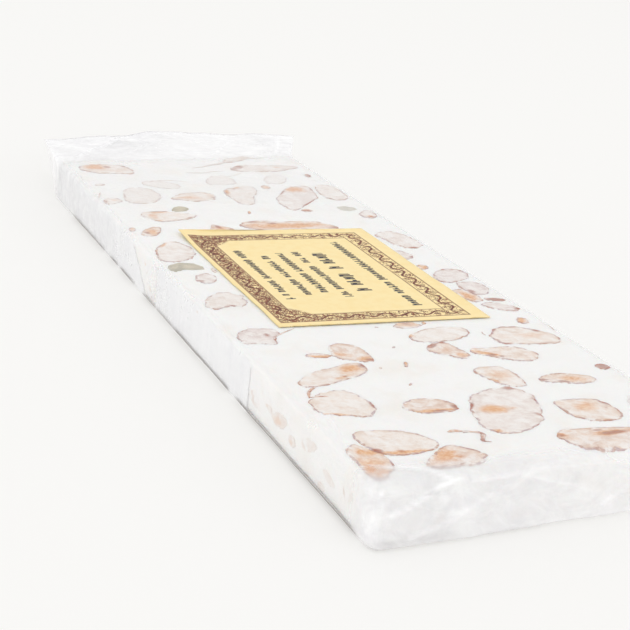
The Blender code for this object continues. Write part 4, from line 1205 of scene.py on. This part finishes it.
def print_row(row_across, start, stop, height, pitch):
    """Plain marks in a row: in each cell an upright, a bar and often a second upright. A few stay empty."""
    count = (along - start) / pitch
    cell = count.maths("FLOOR")
    chance = label_finish.random(label_finish.joined(cell, row_across * 7.3))
    other = label_finish.random(label_finish.joined(cell, row_across * 3.1 + 50))
    within_cell = count - cell - 0.5
    stroke = 0.2 * height / 1.8
    tall = height * (0.3 + other * 0.22)
    far = (across - row_across).size()
    upright = (within_cell + 0.22).within(0.16, 0.06) * (tall - far).band(0.0, 0.12)
    second = (within_cell - 0.24).within(0.14, 0.06) * (height * 0.32 - far).band(0.0, 0.12)
    second = second * chance.band(0.3, 0.34)
    from_bar = across - row_across + (chance - 0.5) * height * 0.6
    crossing = within_cell.within(0.36, 0.06) * from_bar.within(stroke, 0.07)
    kept = along.band(start - 0.05, start) * (1 - along.band(stop, stop + 0.05)) * chance.band(0.13, 0.16)
    return (upright.either(second).either(crossing)) * kept


text_ink = print_row(*ROWS[0])
for row in ROWS[1:]:
    text_ink = text_ink.either(print_row(*row))
yellow = label_finish.mix(fibres.band(0.35, 0.7), (252, 230, 172), (250, 225, 161))
brown = label_finish.mix(engraving.band(0.4, 0.7), (92, 30, 8), (144, 70, 24))
printed = label_finish.mix(frame_ink, yellow, brown)
printed = label_finish.mix(text_ink.kept(), printed, (38, 32, 36))
label_finish.wear(label, Base_Color=printed)

# %% [markdown]
# ## Clear film
# Film is hard to see face on: only its milky folds, its creases and the shine on its curved edges show.
# So the finish is nearly see-through. It grows denser with the value that each point carries, varies in
# soft folds, and gets denser where you look along the surface.

# %% Film finish
film_finish = Finish("clear film", Roughness=0.22, IOR=1.5)
haze_and_sheen = film_finish.attribute("haze_and_sheen")
painted_shadow_line = film_finish.attribute("painted_contact_shadow")
facing = film_finish.node("ShaderNodeLayerWeight", inputs={"Blend": 0.2}, output="Fresnel")
folds = film_finish.noise(film_finish.place(scale=(0.4, 0.5, 0.6)), 0.5, 5, warp=0.6)
fine = film_finish.noise(film_finish.place(scale=(1.0, 0.5, 0.4)), 0.7, 4)
film_colour = film_finish.mix(folds.band(0.35, 0.7), (249, 248, 250), (254, 254, 254))
# Painted contact shadow: along its bottom edges the film turns an opaque dark grey-brown, a shade line where
# it meets the floor.
film_colour = film_finish.mix(painted_shadow_line, film_colour, (104, 86, 70))
# How opaque the white film is: its haze with the painted sheen, and more where it is seen edge on.
veil = haze_and_sheen * (0.65 + folds * 0.7) + facing * 0.15
film_finish.wear(film, Base_Color=film_colour, Alpha=veil.either(painted_shadow_line).kept(),
                 Normal=film_finish.bump(fine, 0.00013))

# %% [markdown]
# ## Floor, light and camera
# The slice lies on a plain white floor in even white light, as in a product photo. The sky is brighter
# low down, so the upright faces come out nearly as light as the top, and three small softboxes give the
# film its glints. The floor is lit partly from below, like a light table, which keeps its shadows faint.
# The camera stands close to the near left corner and looks down at about 18 degrees, a little rolled.

# %% Stage
FLOOR_SIZE = 6.0

bpy.ops.mesh.primitive_plane_add(size=FLOOR_SIZE, location=(0, 0, 0))
floor = bpy.context.object
floor.name = "floor"
floor_finish = Finish("plain floor", Base_Color=(0.45, 0.447, 0.44, 1.0), Roughness=0.9,
                      Specular_IOR_Level=0.0, Emission_Color=(1.0, 0.992, 0.97, 1.0),
                      Emission_Strength=0.495)
floor_finish.wear(floor)

world = bpy.data.worlds.new("studio")
bpy.context.scene.world = world
world.use_nodes = True
sky_nodes = world.node_tree.nodes
direction = sky_nodes.new("ShaderNodeTexCoord")
height = sky_nodes.new("ShaderNodeSeparateXYZ")
world.node_tree.links.new(direction.outputs["Generated"], height.inputs[0])
gradient = sky_nodes.new("ShaderNodeMapRange")
world.node_tree.links.new(height.outputs["Z"], gradient.inputs["Value"])
for socket, value in {"From Min": 0.0, "From Max": 1.0, "To Min": 1.3, "To Max": 0.76}.items():
    gradient.inputs[socket].default_value = value
world.node_tree.links.new(gradient.outputs[0], sky_nodes["Background"].inputs["Strength"])
sky_nodes["Background"].inputs["Color"].default_value = (1, 1, 1, 1)
bpy.context.scene.view_settings.view_transform = "Standard"


def softbox(name, place, size, watts):
    """An area light that looks at the slice."""
    light = bpy.data.lights.new(name, "AREA")
    light.size, light.energy = size, watts
    made = bpy.data.objects.new(name, light)
    made.location = place
    made.rotation_euler = (-made.location).to_track_quat("-Z", "Y").to_euler()
    bpy.context.scene.collection.objects.link(made)


softbox("overhead", (0.1, 0.3, 0.9), 0.25, 0.35)
softbox("front left", (-0.7, -0.6, 0.5), 0.3, 0.5)
softbox("front right", (0.5, -0.7, 0.35), 0.25, 0.3)

# %% Camera
PHOTO_WIDTH = 630
FOCAL_PIXELS = 1526
CAMERA_MM = (-112.9, -253.2, 92.8)
YAW, PITCH, ROLL = 0.4156, 0.3207, 0.0946


def camera_axes(yaw, pitch, roll):
    """Right, up and back of a camera that looks along +Y, turned right by yaw, down by pitch and rolled."""
    forward = np.array([math.sin(yaw) * math.cos(pitch), math.cos(yaw) * math.cos(pitch), -math.sin(pitch)])
    right = np.array([math.cos(yaw), -math.sin(yaw), 0.0])
    up = np.cross(right, forward)
    rolled_right = math.cos(roll) * right + math.sin(roll) * up
    rolled_up = -math.sin(roll) * right + math.cos(roll) * up
    return np.stack([rolled_right, rolled_up, -forward], axis=1)


camera = bpy.data.objects.new("camera", bpy.data.cameras.new("camera"))
bpy.context.scene.collection.objects.link(camera)
camera.data.lens = camera.data.sensor_width * FOCAL_PIXELS / PHOTO_WIDTH
camera.data.clip_start = 0.01
placed = np.eye(4)
placed[:3, :3] = camera_axes(YAW, PITCH, ROLL)
placed[:3, 3] = ZERO + np.array(CAMERA_MM) * MM
camera.matrix_world = Matrix(placed.tolist())
bpy.context.scene.camera = camera
print("camera lens", round(camera.data.lens, 1), "mm")
